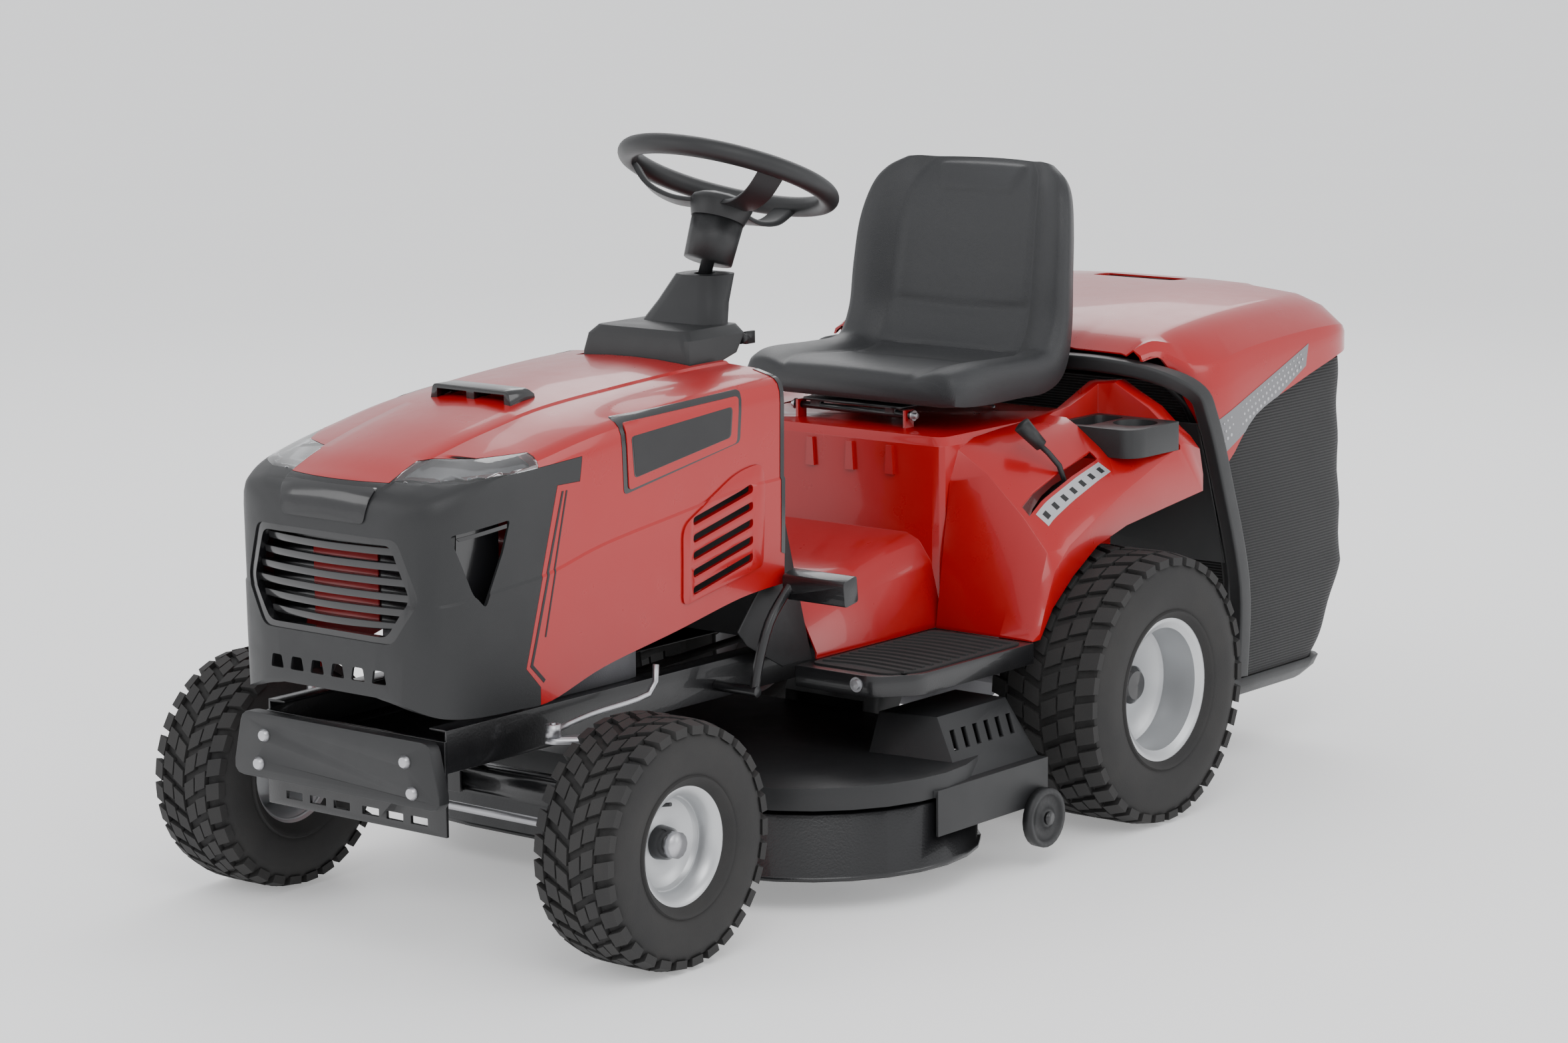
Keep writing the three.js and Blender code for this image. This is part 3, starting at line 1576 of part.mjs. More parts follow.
// The tray under the bag and the hoop that carries it from the hinge.
function collectorFrame() {
  const { bottom, top, front, rear, half, wall } = TRAY;
  const ring = (inset, z, shrink) =>
    rectangleRing(half - inset - shrink, front + inset, rear - inset - shrink, z, 50);
  const tray = loft([ring(0, bottom, 24), ring(0, bottom + 20, 6), ring(0, top, 0)]);
  const hollow = loft([
    ring(wall, bottom + wall, 24),
    ring(wall, bottom + 22, 6),
    ring(wall, top + 2, 0),
  ]);
  const upright = bentRod(
    [
      [368, 1572, bottom + 16],
      [376, 1575, 334],
      [376, 1514, 531],
      [364, 1474, 640],
      [336, 1430, 702],
      [290, 1380, 728],
    ],
    8,
  );
  const topBar = rod([-292, 1380, 728], [292, 1380, 728], 6, 12);
  const foot = block([352, 380], [front + 2, front + 24], [bottom + 8, top]);
  return join(cut(tray, hollow), bothSides(foot), bothSides(upright), topBar);
}

// ---------------------------------------------------------------- assembly

function addFrame() {
  place("chassis_frame", chassisFrame(), "black");
  place("bumper_plate", bumperPlate(), "black");
  place("tow_plate", towPlate(), "black");
  placeAtRear("rear_plate", rearPlate(), "satin");
  placeAtRear("rear_surround", rearSurround(), "satin");
}

function addDrive() {
  place("engine_block", engineBlock(), "iron");
  place("blower_housing", blowerHousing(), "red");
  place("engine_pulley", enginePulley(), "steel");
  place("drive_pulley", drivePulley(), "steel");
  const { x, y } = DRIVE_PULLEY;
  const loop = belt([0, ENGINE.y], [x, y], ENGINE.sheave, BELT.thickness, BELT.bottom, BELT.top);
  place("drive_belt", loop, "rubber");
  place("transaxle", transaxle(), "iron");
  placePair("rear_axle", rearAxle(), "steel");
}

function addSteering() {
  place("front_axle_beam", axleBeam(), "black");
  place("knuckle_left", leftKnuckle(), "steel");
  place("knuckle_right", knuckle(), "steel").scale.x = -1;
  place("tie_rod", tieRod(), "steel");
  place("drag_link", dragLink(), "steel");
  place("steering_wheel", steeringWheel(), "satin");
  place("steering_column", steeringColumn(), "satin");
}

function addBodywork() {
  place("hood_shell", hoodShell(), "red");
  place("hood_scoop", hoodScoop(), "black");
  place("nose_cowl", noseCowl(), "satin");
  place("grille", grille(), "black");
  placePair("headlight", headlight(), "clear");
  place("dash_panel", dashPanel(), "satin");
  place("dash_console", dashConsole(), "satin");
  placeAtRear("rear_body", rearBody(), "red");
  placePair("footboard", footboard(), "black");
  placeAtRear("cup_holder", cupHolder(), "satin");
}

function addControls() {
  place("throttle_lever", throttleLever(), "satin");
  place("ignition_key", ignitionKey(), "satin");
  placeAtRear("height_lever", heightLever(), "satin");
  placeAtRear("gear_lever", gearLever(), "satin");
  place("brake_pedal", brakePedal(), "black");
}

function addSeat() {
  placeAtRear("seat_bracket", seatBracket(), "black");
  placeAtRear("seat", seat(), "vinyl");
  placePair("seat_spring", seatSpring().translate([0, REAR_SHIFT, 0]), "steel");
}

function addDeck() {
  place("deck_shell", deckShell(), "black");
  place("deck_cover", deckCover(), "satin");
  place("deck_belt", deckBelt(), "rubber");
  placePair("blade", blade(), "steel");
  placePair("scalp_wheel", scalpWheel(), "satin");
}

function addCollector() {
  placeAtRear("discharge_chute", dischargeChute(), "satin");
  placeAtRear("collector_frame", collectorFrame(), "satin");
  placeAtRear("collector_bag", collectorBag(), "fabric");
  placeAtRear("collector_lid", collectorLid(), "red");
}

addFrame();
addDrive();
addSteering();
addWheels();
addBodywork();
addControls();
addSeat();
addDeck();
addCollector();

mower.position.y = -(HOOD.front + COLLECTOR.rear) / 2;

export default mower;
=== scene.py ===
"""Looks for a riding lawn mower with a rear grass collector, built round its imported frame."""

import math

import bmesh
import bpy
from mathutils import Matrix, Vector
from mathutils.bvhtree import BVHTree


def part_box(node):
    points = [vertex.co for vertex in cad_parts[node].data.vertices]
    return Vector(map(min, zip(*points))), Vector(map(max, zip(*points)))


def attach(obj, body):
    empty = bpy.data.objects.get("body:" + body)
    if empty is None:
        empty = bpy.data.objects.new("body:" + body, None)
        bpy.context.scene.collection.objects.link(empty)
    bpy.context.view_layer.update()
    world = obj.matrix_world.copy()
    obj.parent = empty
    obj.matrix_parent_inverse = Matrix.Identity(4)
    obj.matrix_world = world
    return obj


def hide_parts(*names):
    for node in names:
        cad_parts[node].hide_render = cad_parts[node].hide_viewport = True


bl_info = {
    "name": "Riding lawn mower",
    "version": (1, 0, 0),
    "blender": (4, 5, 0),
    "location": "3D View > Sidebar > Mower",
    "description": "Builds the visible surfaces of a riding lawn mower round its packed frame",
    "category": "Object",
}

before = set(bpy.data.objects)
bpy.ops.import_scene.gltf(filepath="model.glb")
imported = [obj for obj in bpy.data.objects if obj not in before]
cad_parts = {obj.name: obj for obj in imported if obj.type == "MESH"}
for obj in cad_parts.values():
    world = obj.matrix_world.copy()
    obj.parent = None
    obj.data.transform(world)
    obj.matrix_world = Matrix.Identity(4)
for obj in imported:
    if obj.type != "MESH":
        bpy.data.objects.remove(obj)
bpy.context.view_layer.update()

# Lengths below are in millimetres from the ground under the middle of the front axle,
# with x to the operator's left, y to the rear and z up.
MM = 0.001
FRONT_LOW, FRONT_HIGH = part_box("front_tyre_left")
AXLE_Y = (FRONT_LOW.y + FRONT_HIGH.y) / 2


def metres(point):
    return Vector((point[0] * MM, point[1] * MM + AXLE_Y, point[2] * MM))


def millimetres(point):
    return Vector((point[0] / MM, (point[1] - AXLE_Y) / MM, point[2] / MM))


# ---------------------------------------------------------------- finishes


class Value:
    """A shader socket that takes part in ordinary sums."""

    def __init__(self, finish, socket):
        self.finish = finish
        self.socket = socket

    def maths(self, operation, first, second=0.0):
        return self.finish.node("ShaderNodeMath", {"operation": operation}, {0: first, 1: second})

    def __add__(self, other):
        return self.maths("ADD", self, other)

    def __mul__(self, other):
        return self.maths("MULTIPLY", self, other)

    def sine(self):
        return self.maths("SINE", self)


class Finish:
    """One material, made from the sockets of a principled shader."""

    def __init__(self, name, **constants):
        self.material = bpy.data.materials.new(name)
        self.material.use_nodes = True
        self.tree = self.material.node_tree
        self.shader = next(n for n in self.tree.nodes if n.type == "BSDF_PRINCIPLED")
        for socket, constant in constants.items():
            self.shader.inputs[socket.replace("_", " ")].default_value = constant
        self.place = self.node("ShaderNodeTexCoord", {}, {}, "Object")

    def node(self, kind, settings, inputs, output=0):
        made = self.tree.nodes.new(kind)
        for name, setting in settings.items():
            setattr(made, name, setting)
        for name, given in inputs.items():
            self.feed(made.inputs[name], given)
        return Value(self, made.outputs[output])

    def feed(self, socket, given):
        if isinstance(given, Value):
            self.tree.links.new(given.socket, socket)
        else:
            socket.default_value = given

    def noise(self, scale, detail, stretch=None):
        place = self.place
        if stretch:
            place = self.node("ShaderNodeVectorMath", {"operation": "MULTIPLY"}, {0: place, 1: stretch})
        return self.node("ShaderNodeTexNoise", {}, {"Vector": place, "Scale": scale, "Detail": detail})

    def cell_edges(self, scale):
        kind = {"feature": "DISTANCE_TO_EDGE"}
        return self.node("ShaderNodeTexVoronoi", kind, {"Vector": self.place, "Scale": scale})

    def mix(self, share, first, second):
        return self.node("ShaderNodeMix", {"data_type": "RGBA"}, {0: share, 6: first, 7: second}, 2)

    def colour(self, given):
        self.feed(self.shader.inputs["Base Color"], given)

    def rough(self, given):
        self.feed(self.shader.inputs["Roughness"], given)

    def bump(self, height, depth, strength=1.0):
        made = self.node("ShaderNodeBump", {}, {"Height": height, "Distance": depth, "Strength": strength})
        self.feed(self.shader.inputs["Normal"], made)

    def height(self):
        return self.node("ShaderNodeSeparateXYZ", {}, {0: self.place}, "Z")


def shade(colour, factor):
    return (*[min(1.0, part * factor) for part in colour[:3]], 1.0)


def moulded(name, colour, rough, spread, grain, depth, **constants):
    """Moulded plastic or paint: slow colour drift, uneven gloss and fine grain."""
    made = Finish(name, **constants)
    drift = made.noise(5.0, 4.0)
    base = made.mix(drift, shade(colour, 1 - spread), shade(colour, 1 + spread))
    patches = made.noise(23.0, 5.0)
    made.colour(base)
    made.rough(patches * 0.16 + (rough - 0.08))
    made.bump(made.noise(grain, 2.0), depth)
    return made.material


def metal(name, colour, rough, streak=(1.0, 1.0, 40.0)):
    made = Finish(name, Metallic=1.0)
    lines = made.noise(60.0, 4.0, streak)
    tarnish = made.noise(14.0, 5.0)
    made.colour(made.mix(tarnish, shade(colour, 0.75), shade(colour, 1.1)))
    made.rough(lines * 0.2 + tarnish * 0.15 + (rough - 0.15))
    made.bump(lines, 0.0001)
    return made.material


def cast_metal(name, colour):
    made = Finish(name, Metallic=0.6)
    pits = made.noise(420.0, 4.0)
    stain = made.noise(9.0, 5.0)
    made.colour(made.mix(stain, shade(colour, 0.55), shade(colour, 1.15)))
    made.rough(stain * 0.2 + 0.45)
    made.bump(pits, 0.0006)
    return made.material


def rubber(name, colour, dust):
    made = Finish(name, **{"Specular IOR Level": 0.35})
    patch = made.noise(16.0, 6.0)
    fine = made.noise(520.0, 3.0)
    made.colour(made.mix(patch * dust, (*colour, 1.0), (0.09, 0.085, 0.078, 1.0)))
    made.rough(patch * 0.2 + 0.66)
    made.bump(fine, 0.0003)
    return made.material


def vinyl(name, colour):
    made = Finish(name, Sheen_Weight=0.05, Coat_Weight=0.08, Coat_Roughness=0.4)
    grain = made.cell_edges(520.0)
    drift = made.noise(7.0, 4.0)
    made.colour(made.mix(drift, shade(colour, 0.8), shade(colour, 1.25)))
    made.rough(drift * 0.18 + 0.36)
    made.bump(grain, 0.0009, 0.55)
    return made.material


def ribbed_fabric(name, colour, pitch):
    made = Finish(name, Sheen_Weight=0.12, Sheen_Roughness=0.5)
    ribs = (made.height() * (2 * math.pi / pitch)).sine()
    threads = made.noise(900.0, 2.0, (1.0, 1.0, 0.25))
    drift = made.noise(6.0, 4.0)
    # The colour follows the ribs' height: lighter on the crests is a painted highlight and darker in the troughs
    # is painted shade. The thread noise is the yarn's own random tone.
    rib_shading_and_thread_tone = ribs * 0.35 + threads * 0.4 + 0.2
    made.colour(made.mix(rib_shading_and_thread_tone, shade(colour, 0.5), shade(colour, 2.1)))
    made.rough(drift * 0.15 + 0.72)
    made.bump(ribs + threads * 0.5, 0.0008)
    return made.material


def clear_lens(name):
    made = Finish(name, Transmission_Weight=1.0, IOR=1.46, Coat_Weight=0.5)
    haze = made.noise(40.0, 3.0)
    made.colour(made.mix(haze, (0.93, 0.95, 0.97, 1.0), (0.99, 0.99, 1.0, 1.0)))
    made.rough(haze * 0.04 + 0.02)
    return made.material


def pale_floor(name):
    made = Finish(name, Emission_Color=(1, 1, 1, 1), Emission_Strength=0.3)
    cloud = made.noise(1.3, 4.0)
    made.colour(made.mix(cloud, (0.93, 0.93, 0.93, 1.0), (0.96, 0.96, 0.96, 1.0)))
    made.rough(cloud * 0.1 + 0.6)
    return made.material


FINISHES = {}


def finish(name):
    if name not in FINISHES:
        raise RuntimeError(f"run the finishes operator before using {name}")
    return FINISHES[name]


# ---------------------------------------------------------------- forms

HANDS = (("left", 1), ("right", -1))
TIP = 0.01  # the radius at the middle of a turned piece


def on_side(hand, near, far):
    """The stretch of x between two distances from the middle, on one side."""
    return (near, far) if hand > 0 else (-far, -near)


def spline(points, steps):
    """A smooth line through the points, which may be lists of any numbers."""
    line = []
    last = len(points) - 1
    for i in range(last):
        a, b = points[max(i - 1, 0)], points[i]
        c, d = points[i + 1], points[min(i + 2, last)]
        for k in range(steps):
            t = k / steps
            line.append(
                [
                    0.5
                    * (2 * q + (r - p) * t + (2 * p - 5 * q + 4 * r - s) * t**2 + (3 * q - p - 3 * r + s) * t**3)
                    for p, q, r, s in zip(a, b, c, d)
                ]
            )
    line.append(list(points[last]))
    return line


def rounded(corners, steps=4):
    """A closed outline; each corner is (u, v) or (u, v, radius)."""
    line = []
    count = len(corners)
    for i, corner in enumerate(corners):
        here = Vector(corner[:2])
        radius = corner[2] if len(corner) > 2 else 0
        if not radius:
            line.append(tuple(here))
            continue
        back = Vector(corners[i - 1][:2]) - here
        onward = Vector(corners[(i + 1) % count][:2]) - here
        reach = min(radius, 0.45 * back.length, 0.45 * onward.length)
        start, end = here + back.normalized() * reach, here + onward.normalized() * reach
        for k in range(steps + 1):
            t = k / steps
            line.append(tuple(start * (1 - t) ** 2 + here * 2 * t * (1 - t) + end * t**2))
    return line


class Form:
    """Points in millimetres and the faces between them."""

    def __init__(self):
        self.points = []
        self.faces = []

    def add(self, other):
        base = len(self.points)
        self.points += other.points
        self.faces += [[base + i for i in face] for face in other.faces]
        return self

    def moved(self, change):
        made = Form()
        made.points = [change(Vector(p)) for p in self.points]
        made.faces = self.faces
        return made

    def mirrored(self):
        made = Form()
        made.points = [(-p[0], p[1], p[2]) for p in self.points]
        made.faces = [face[::-1] for face in self.faces]
        return made

    def on(self, hand):
        """The form as it is for the left side, or its mirror image for the right."""
        return self if hand > 0 else self.mirrored()


def loft(rings, caps=True, closed=True, joined=False):
    made = Form()
    width = len(rings[0])
    for ring in rings:
        made.points += [tuple(p) for p in ring]
    spans = len(rings) if joined else len(rings) - 1
    for i in range(spans):
        a, b = i * width, ((i + 1) % len(rings)) * width
        for k in range(width if closed else width - 1):
            n = (k + 1) % width
            made.faces.append([a + k, a + n, b + n, b + k])
    if caps and not joined:
        made.faces.append(list(range(width))[::-1])
        made.faces.append([(len(rings) - 1) * width + k for k in range(width)])
    return made


PLACES = {
    "side": lambda u, v, w: (w, u, v),
    "front": lambda u, v, w: (u, w, v),
    "plan": lambda u, v, w: (u, v, w),
}


def slab(facing, outline, low, high):
    place = PLACES[facing]
    return loft([[place(u, v, w) for u, v in outline] for w in (low, high)])


def block(x, y, z):
    return slab("plan", [(x[0], y[0]), (x[1], y[0]), (x[1], y[1]), (x[0], y[1])], z[0], z[1])


def lathe(profile, centre, axis, sides=72):
    """A closed profile of (radius, distance along the axis) turned round the axis."""
    axis = Vector(axis).normalized()
    across = axis.orthogonal().normalized()
    up = axis.cross(across)
    rings = []
    for i in range(sides):
        angle = 2 * math.pi * i / sides
        out = across * math.cos(angle) + up * math.sin(angle)
        rings.append([Vector(centre) + out * r + axis * u for r, u in profile])
    return loft(rings, joined=True)


def sweep(points, outline, steps=8, up=(0, 0, 1)):
    """An outline carried along a smooth line, kept upright."""
    line = [Vector(p) for p in spline(points, steps)]
    rings = []
    for i, here in enumerate(line):
        along = (line[min(i + 1, len(line) - 1)] - line[max(i - 1, 0)]).normalized()
        side = along.cross(Vector(up))
        side = side.normalized() if side.length > 1e-6 else Vector((1, 0, 0))
        top = side.cross(along)
        rings.append([here + side * u + top * v for u, v in outline])
    return loft(rings)


def circle(radius, sides=14):
    return [
        (radius * math.cos(2 * math.pi * k / sides), radius * math.sin(2 * math.pi * k / sides))
        for k in range(sides)
    ]


def mesh_of(name, form):
    mesh = bpy.data.meshes.new(name)
    mesh.from_pydata([metres(p) for p in form.points], [], form.faces)
    work = bmesh.new()
    work.from_mesh(mesh)
    bmesh.ops.remove_doubles(work, verts=work.verts, dist=1e-6)
    bmesh.ops.recalc_face_normals(work, faces=work.faces)
    work.to_mesh(mesh)
    work.free()
    return mesh


def add_object(name, mesh):
    made = bpy.data.objects.new(name, mesh)
    bpy.context.scene.collection.objects.link(made)
    return made


def settle(made):
    """Applies the piece's modifiers to its mesh."""
    bpy.context.view_layer.update()
    graph = bpy.context.evaluated_depsgraph_get()
    mesh = bpy.data.meshes.new_from_object(made.evaluated_get(graph))
    made.modifiers.clear()
    made.data = mesh


def modify(made, kind, **settings):
    modifier = made.modifiers.new(kind.title(), kind)
    for name, setting in settings.items():
        setattr(modifier, name, setting)
    return modifier


def combine(made, other_form, operation):
    """Cuts, joins or keeps the common part of a piece and a form."""
    other = add_object("cutter", mesh_of("cutter", other_form))
    modify(made, "BOOLEAN", operation=operation, object=other, solver="EXACT", use_self=True)
    settle(made)
    bpy.data.objects.remove(other)


def smooth(made, angle):
    made.data.polygons.foreach_set("use_smooth", [True] * len(made.data.polygons))
    made.data.set_sharp_from_angle(angle=math.radians(angle))


def soften(made, width, angle):
    """Rounds the edges that are sharper than an angle."""
    limit = math.radians(angle)
    modify(
        made, "BEVEL", width=width * MM, segments=2, limit_method="ANGLE", angle_limit=limit,
        use_clamp_overlap=True,
    )


def make(name, form, finish_name, body, cuts=(), keeps=(), edge=0.0, angle=34, stands_for=()):
    """One finished piece: its form, what is cut from it, its rounded edges, its finish and its body."""
    made = add_object(name, mesh_of(name, form))
    for tool in keeps:
        combine(made, tool, "INTERSECT")
    for tool in cuts:
        combine(made, tool, "DIFFERENCE")
    if edge:
        soften(made, edge, angle)
        settle(made)
    if not len(made.data.polygons):
        raise RuntimeError(f"{name} came out empty")
    smooth(made, angle)
    made.data.materials.clear()
    made.data.materials.append(finish(finish_name))
    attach(made, body)
    if stands_for:
        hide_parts(*stands_for)
    return made


DECAL_FOOT = 0.05
RAY_START, RAY_REACH = 80, 400


def draped(name, onto, corners, toward, finish_name, body, lift=0.5, cells=(14, 4)):
    """A thin decal between four corners, laid along a direction on the surface of a CAD piece."""
    tree = BVHTree.FromObject(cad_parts[onto], bpy.context.evaluated_depsgraph_get())
    toward = Vector(toward).normalized()
    a, b, c, d = (Vector(corner) for corner in corners)
    sheets = []
    for rise in (lift, DECAL_FOOT):
        rings = []
        for i in range(cells[0] + 1):
            low, high = a.lerp(b, i / cells[0]), d.lerp(c, i / cells[0])
            ring = []
            for j in range(cells[1] + 1):
                start = metres(low.lerp(high, j / cells[1]) - toward * RAY_START)
                spot, normal, _, _ = tree.ray_cast(start, toward, RAY_REACH * MM)
                if spot is None:
                    raise RuntimeError(f"{name} misses {onto}")
                normal = normal if normal.dot(toward) < 0 else -normal
                ring.append(tuple(millimetres(spot + normal * rise * MM)))
            rings.append(ring)
        sheets.append(rings)
    top, under = sheets
    make(name, loft([front + back[::-1] for front, back in zip(top, under)]), finish_name, body)


# ---------------------------------------------------------------- settings


def colour_property(name, description, default):
    return bpy.props.FloatVectorProperty(
        name=name, description=description, default=default, subtype="COLOR", size=3, min=0, max=1
    )


def length_property(name, description, default, least=0.0):
    return bpy.props.FloatProperty(
        name=name, description=description, default=default, unit="LENGTH", min=least
    )


class MowerColours(bpy.types.PropertyGroup):
    """Colours of the visible finishes."""

    red: colour_property("Red", "Bodywork paint", (0.4, 0.001, 0.003))
    satin: colour_property("Satin grey", "Dark grey mouldings", (0.014, 0.0145, 0.0155))
    black: colour_property("Black", "Gloss black parts", (0.008, 0.008, 0.009))
    silver: colour_property("Silver", "Wheel rims", (0.56, 0.57, 0.58))


class MowerTread(bpy.types.PropertyGroup):
    """Sizes of the tyre tread."""

    front_rows: bpy.props.IntProperty(
        name="Front rows", description="Tread rows round a front tyre", default=30, min=8
    )
    rear_rows: bpy.props.IntProperty(
        name="Rear rows", description="Tread rows round a rear tyre", default=34, min=8
    )
    height: length_property("Block height", "Height of a tread block", 0.007, 0.001)


class MowerSeat(bpy.types.PropertyGroup):
    """Depths of the seat's moulded lines."""

    groove: length_property("Groove", "Depth of the bolster groove", 0.006)
    crown: length_property("Crown", "Rise of the cushion between grooves", 0.006)


class MowerBag(bpy.types.PropertyGroup):
    """Sizes of the collector's fabric."""

    rib: length_property("Rib pitch", "Distance between fabric ribs", 0.0052, 0.001)
    slack: length_property("Slack", "Depth of the waves along the rear edge", 0.004)


def millis(length):
    return length / MM


# ---------------------------------------------------------------- operators


class MOWER_OT_finishes(bpy.types.Operator):
    """Make the materials"""

    bl_idname = "mower.finishes"
    bl_label = "Finishes"

    def execute(self, context):
        colours = context.scene.mower_colours
        red, satin, black = tuple(colours.red), tuple(colours.satin), tuple(colours.black)
        FINISHES.update(
            red=moulded("red gloss", red, 0.3, 0.05, 60.0, 0.0001, Coat_Weight=0.35, Coat_Roughness=0.05),
            satin=moulded("satin grey", satin, 0.42, 0.12, 1400.0, 0.00025),
            matte=moulded("matte grey", shade(satin, 0.8)[:3], 0.62, 0.15, 1100.0, 0.0004),
            black=moulded("gloss black", black, 0.2, 0.1, 90.0, 0.0001, Coat_Weight=0.5, Coat_Roughness=0.08),
            black_metal=moulded("black paint", black, 0.32, 0.15, 300.0, 0.0002, Coat_Weight=0.3),
            silver=moulded("silver paint", tuple(colours.silver), 0.36, 0.05, 900.0, 0.0001, Metallic=0.75),
            grey_line=moulded("grey decal", (0.2, 0.2, 0.21), 0.3, 0.04, 800.0, 0.00005),
            pale_line=moulded("pale decal", (0.5, 0.5, 0.52), 0.3, 0.04, 800.0, 0.00005, Metallic=0.4),
            steel=metal("steel", (0.55, 0.55, 0.57), 0.36),
            mirror_metal=metal("reflector", (0.85, 0.86, 0.88), 0.2, (1.0, 1.0, 1.0)),
            cast=cast_metal("cast alloy", (0.3, 0.3, 0.32)),
            tyre=rubber("tyre rubber", (0.016, 0.016, 0.017), 0.35),
            mat=rubber("mat rubber", (0.02, 0.02, 0.021), 0.2),
            belt=rubber("belt rubber", (0.015, 0.015, 0.015), 0.3),
            vinyl=vinyl("seat vinyl", (0.017, 0.018, 0.02)),
            fabric=ribbed_fabric("bag fabric", (0.009, 0.009, 0.0095), context.scene.mower_bag.rib),
            lens=clear_lens("clear lens"),
            floor=pale_floor("pale floor"),
        )
        return {"FINISHED"}


CARRIED = {
    "satin": [
        "rear_plate", "bumper_plate", "dash_panel", "dash_console", "deck_cover", "cup_holder", "scalp_wheel_left",
        "scalp_wheel_right", "discharge_chute", "collector_frame", "steering_column", "height_lever",
        "gear_lever", "throttle_lever", "ignition_key",
    ],
    "black": ["grille", "hood_scoop"],
    "black_metal": [
        "chassis_frame", "tow_plate", "seat_bracket", "front_axle_beam", "deck_shell",
        "brake_pedal", "footboard_left", "footboard_right", "rear_axle_left", "rear_axle_right",
    ],
    "red": ["rear_body", "blower_housing"],
    "cast": ["engine_block", "transaxle"],
    "belt": ["drive_belt", "deck_belt"],
    "steel": [
        "engine_pulley", "drive_pulley", "knuckle_left", "knuckle_right", "tie_rod", "drag_link",
        "seat_spring_left", "seat_spring_right", "blade_left", "blade_right",
    ],
}
SOFT_EDGES = {
    "rear_body": 2.5, "dash_panel": 2.5, "deck_cover": 2.0, "cup_holder": 2.5, "bumper_plate": 3.0,
    "footboard_left": 2.0, "footboard_right": 2.0, "brake_pedal": 2.0, "dash_console": 2.0, "rear_plate": 1.0,
    "chassis_frame": 1.0, "grille": 1.5, "hood_scoop": 3.0,
}


class MOWER_OT_carried_parts(bpy.types.Operator):
    """Give the frame's own parts their finishes and soft edges"""

    bl_idname = "mower.carried_parts"
    bl_label = "Carried parts"

    def execute(self, context):
        for finish_name, nodes in CARRIED.items():
            for node in nodes:
                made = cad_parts[node]
                made.data.materials.clear()
                made.data.materials.append(finish(finish_name))
                smooth(made, 30)
                modify(made, "WELD", merge_threshold=0.00002)
                if node in SOFT_EDGES:
                    soften(made, SOFT_EDGES[node], 32)
        return {"FINISHED"}


# ---------------------------------------------------------------- wheels


# Each tread block's near and far share of the half width, the lean of both ends and its length,
# as shares of the distance between rows.
TREAD_BLOCKS = [(0.03, 0.3, 0.0, 0.3, 0.66), (0.34, 0.62, 0.42, 0.66, 0.66), (0.66, 0.955, 0.1, 0.26, 0.68)]
BLOCK_ROOT = 6
BLOCK_DRAFT = 0.995
SHOULDER_FALL = 27


def tyre_form(centre, radius, half, flange, rows, lug):
    carcass = radius - lug
    waist = (flange + carcass) / 2
    side = [
        (carcass, 0), (carcass - 1, half * 0.45), (carcass - 4, half * 0.72), (carcass - 12, half * 0.9),
        (waist + 16, half * 0.985), (waist, half), (flange + 22, half - 3), (flange + 17, half - 6),
        (flange + 14, half - 2), (flange + 9, half - 4), (flange + 2, half - 14), (flange - 6, half - 20),
    ]
    whole = side + [(r, -u) for r, u in reversed(side[1:])]
    made = lathe(whole, centre, (1, 0, 0), 96)

    def tread_radius(u):
        return radius - SHOULDER_FALL * max(0.0, abs(u) / half - 0.55) ** 1.5

    pitch = 2 * math.pi / rows
    for row in range(rows):
        for hand in (1, -1):
            stagger = 0.0 if hand > 0 else 0.5
            for near, far, start, end, long in TREAD_BLOCKS:
                corners = []
                for share, lean in ((near, start), (far, end)):
                    for edge in (0, long):
                        corners.append((share, (row + stagger + lean + edge) * pitch))
                low, high = [], []
                for share, angle in (corners[0], corners[1], corners[3], corners[2]):
                    u = share * half * hand
                    top = tread_radius(u)
                    for ring, r, draft in ((low, top - lug - BLOCK_ROOT, 1.0), (high, top, BLOCK_DRAFT)):
                        x = centre[0] + u * draft
                        ring.append((x, centre[1] + r * math.sin(angle), centre[2] + r * math.cos(angle)))
                made.add(loft([low, high]))
    return made


def rim_profiles(flange, half, dish, hub):
    """The pressed disc and the barrel, as (radius, distance outward)."""
    barrel = flange - 14
    disc = [
        (hub * 0.5, dish + 3), (hub, dish + 3), (hub + 8, dish), (barrel * 0.62, dish + 1),
        (barrel * 0.85, dish + 7),
        (barrel - 3, dish + 16), (barrel - 6, dish + 16), (barrel * 0.82, dish + 1), (barrel * 0.6, dish - 3),
        (hub * 0.5, dish - 3),
    ]
    shell = [
        (barrel - 2, dish - 6), (barrel, half * 0.55), (barrel + 3, half - 12), (flange - 5, half - 8),
        (flange, half - 3), (flange + 2, half - 0.5), (flange - 1, half), (flange - 7, half - 4),
        (barrel - 1, half - 9), (barrel - 4, half * 0.5), (barrel - 6, dish), (barrel - 5, -half * 0.6),
        (flange - 8, 6 - half), (flange, -half), (flange, 4 - half), (barrel + 2, 10 - half),
        (barrel - 1, -half * 0.5),
    ]
    return disc, shell


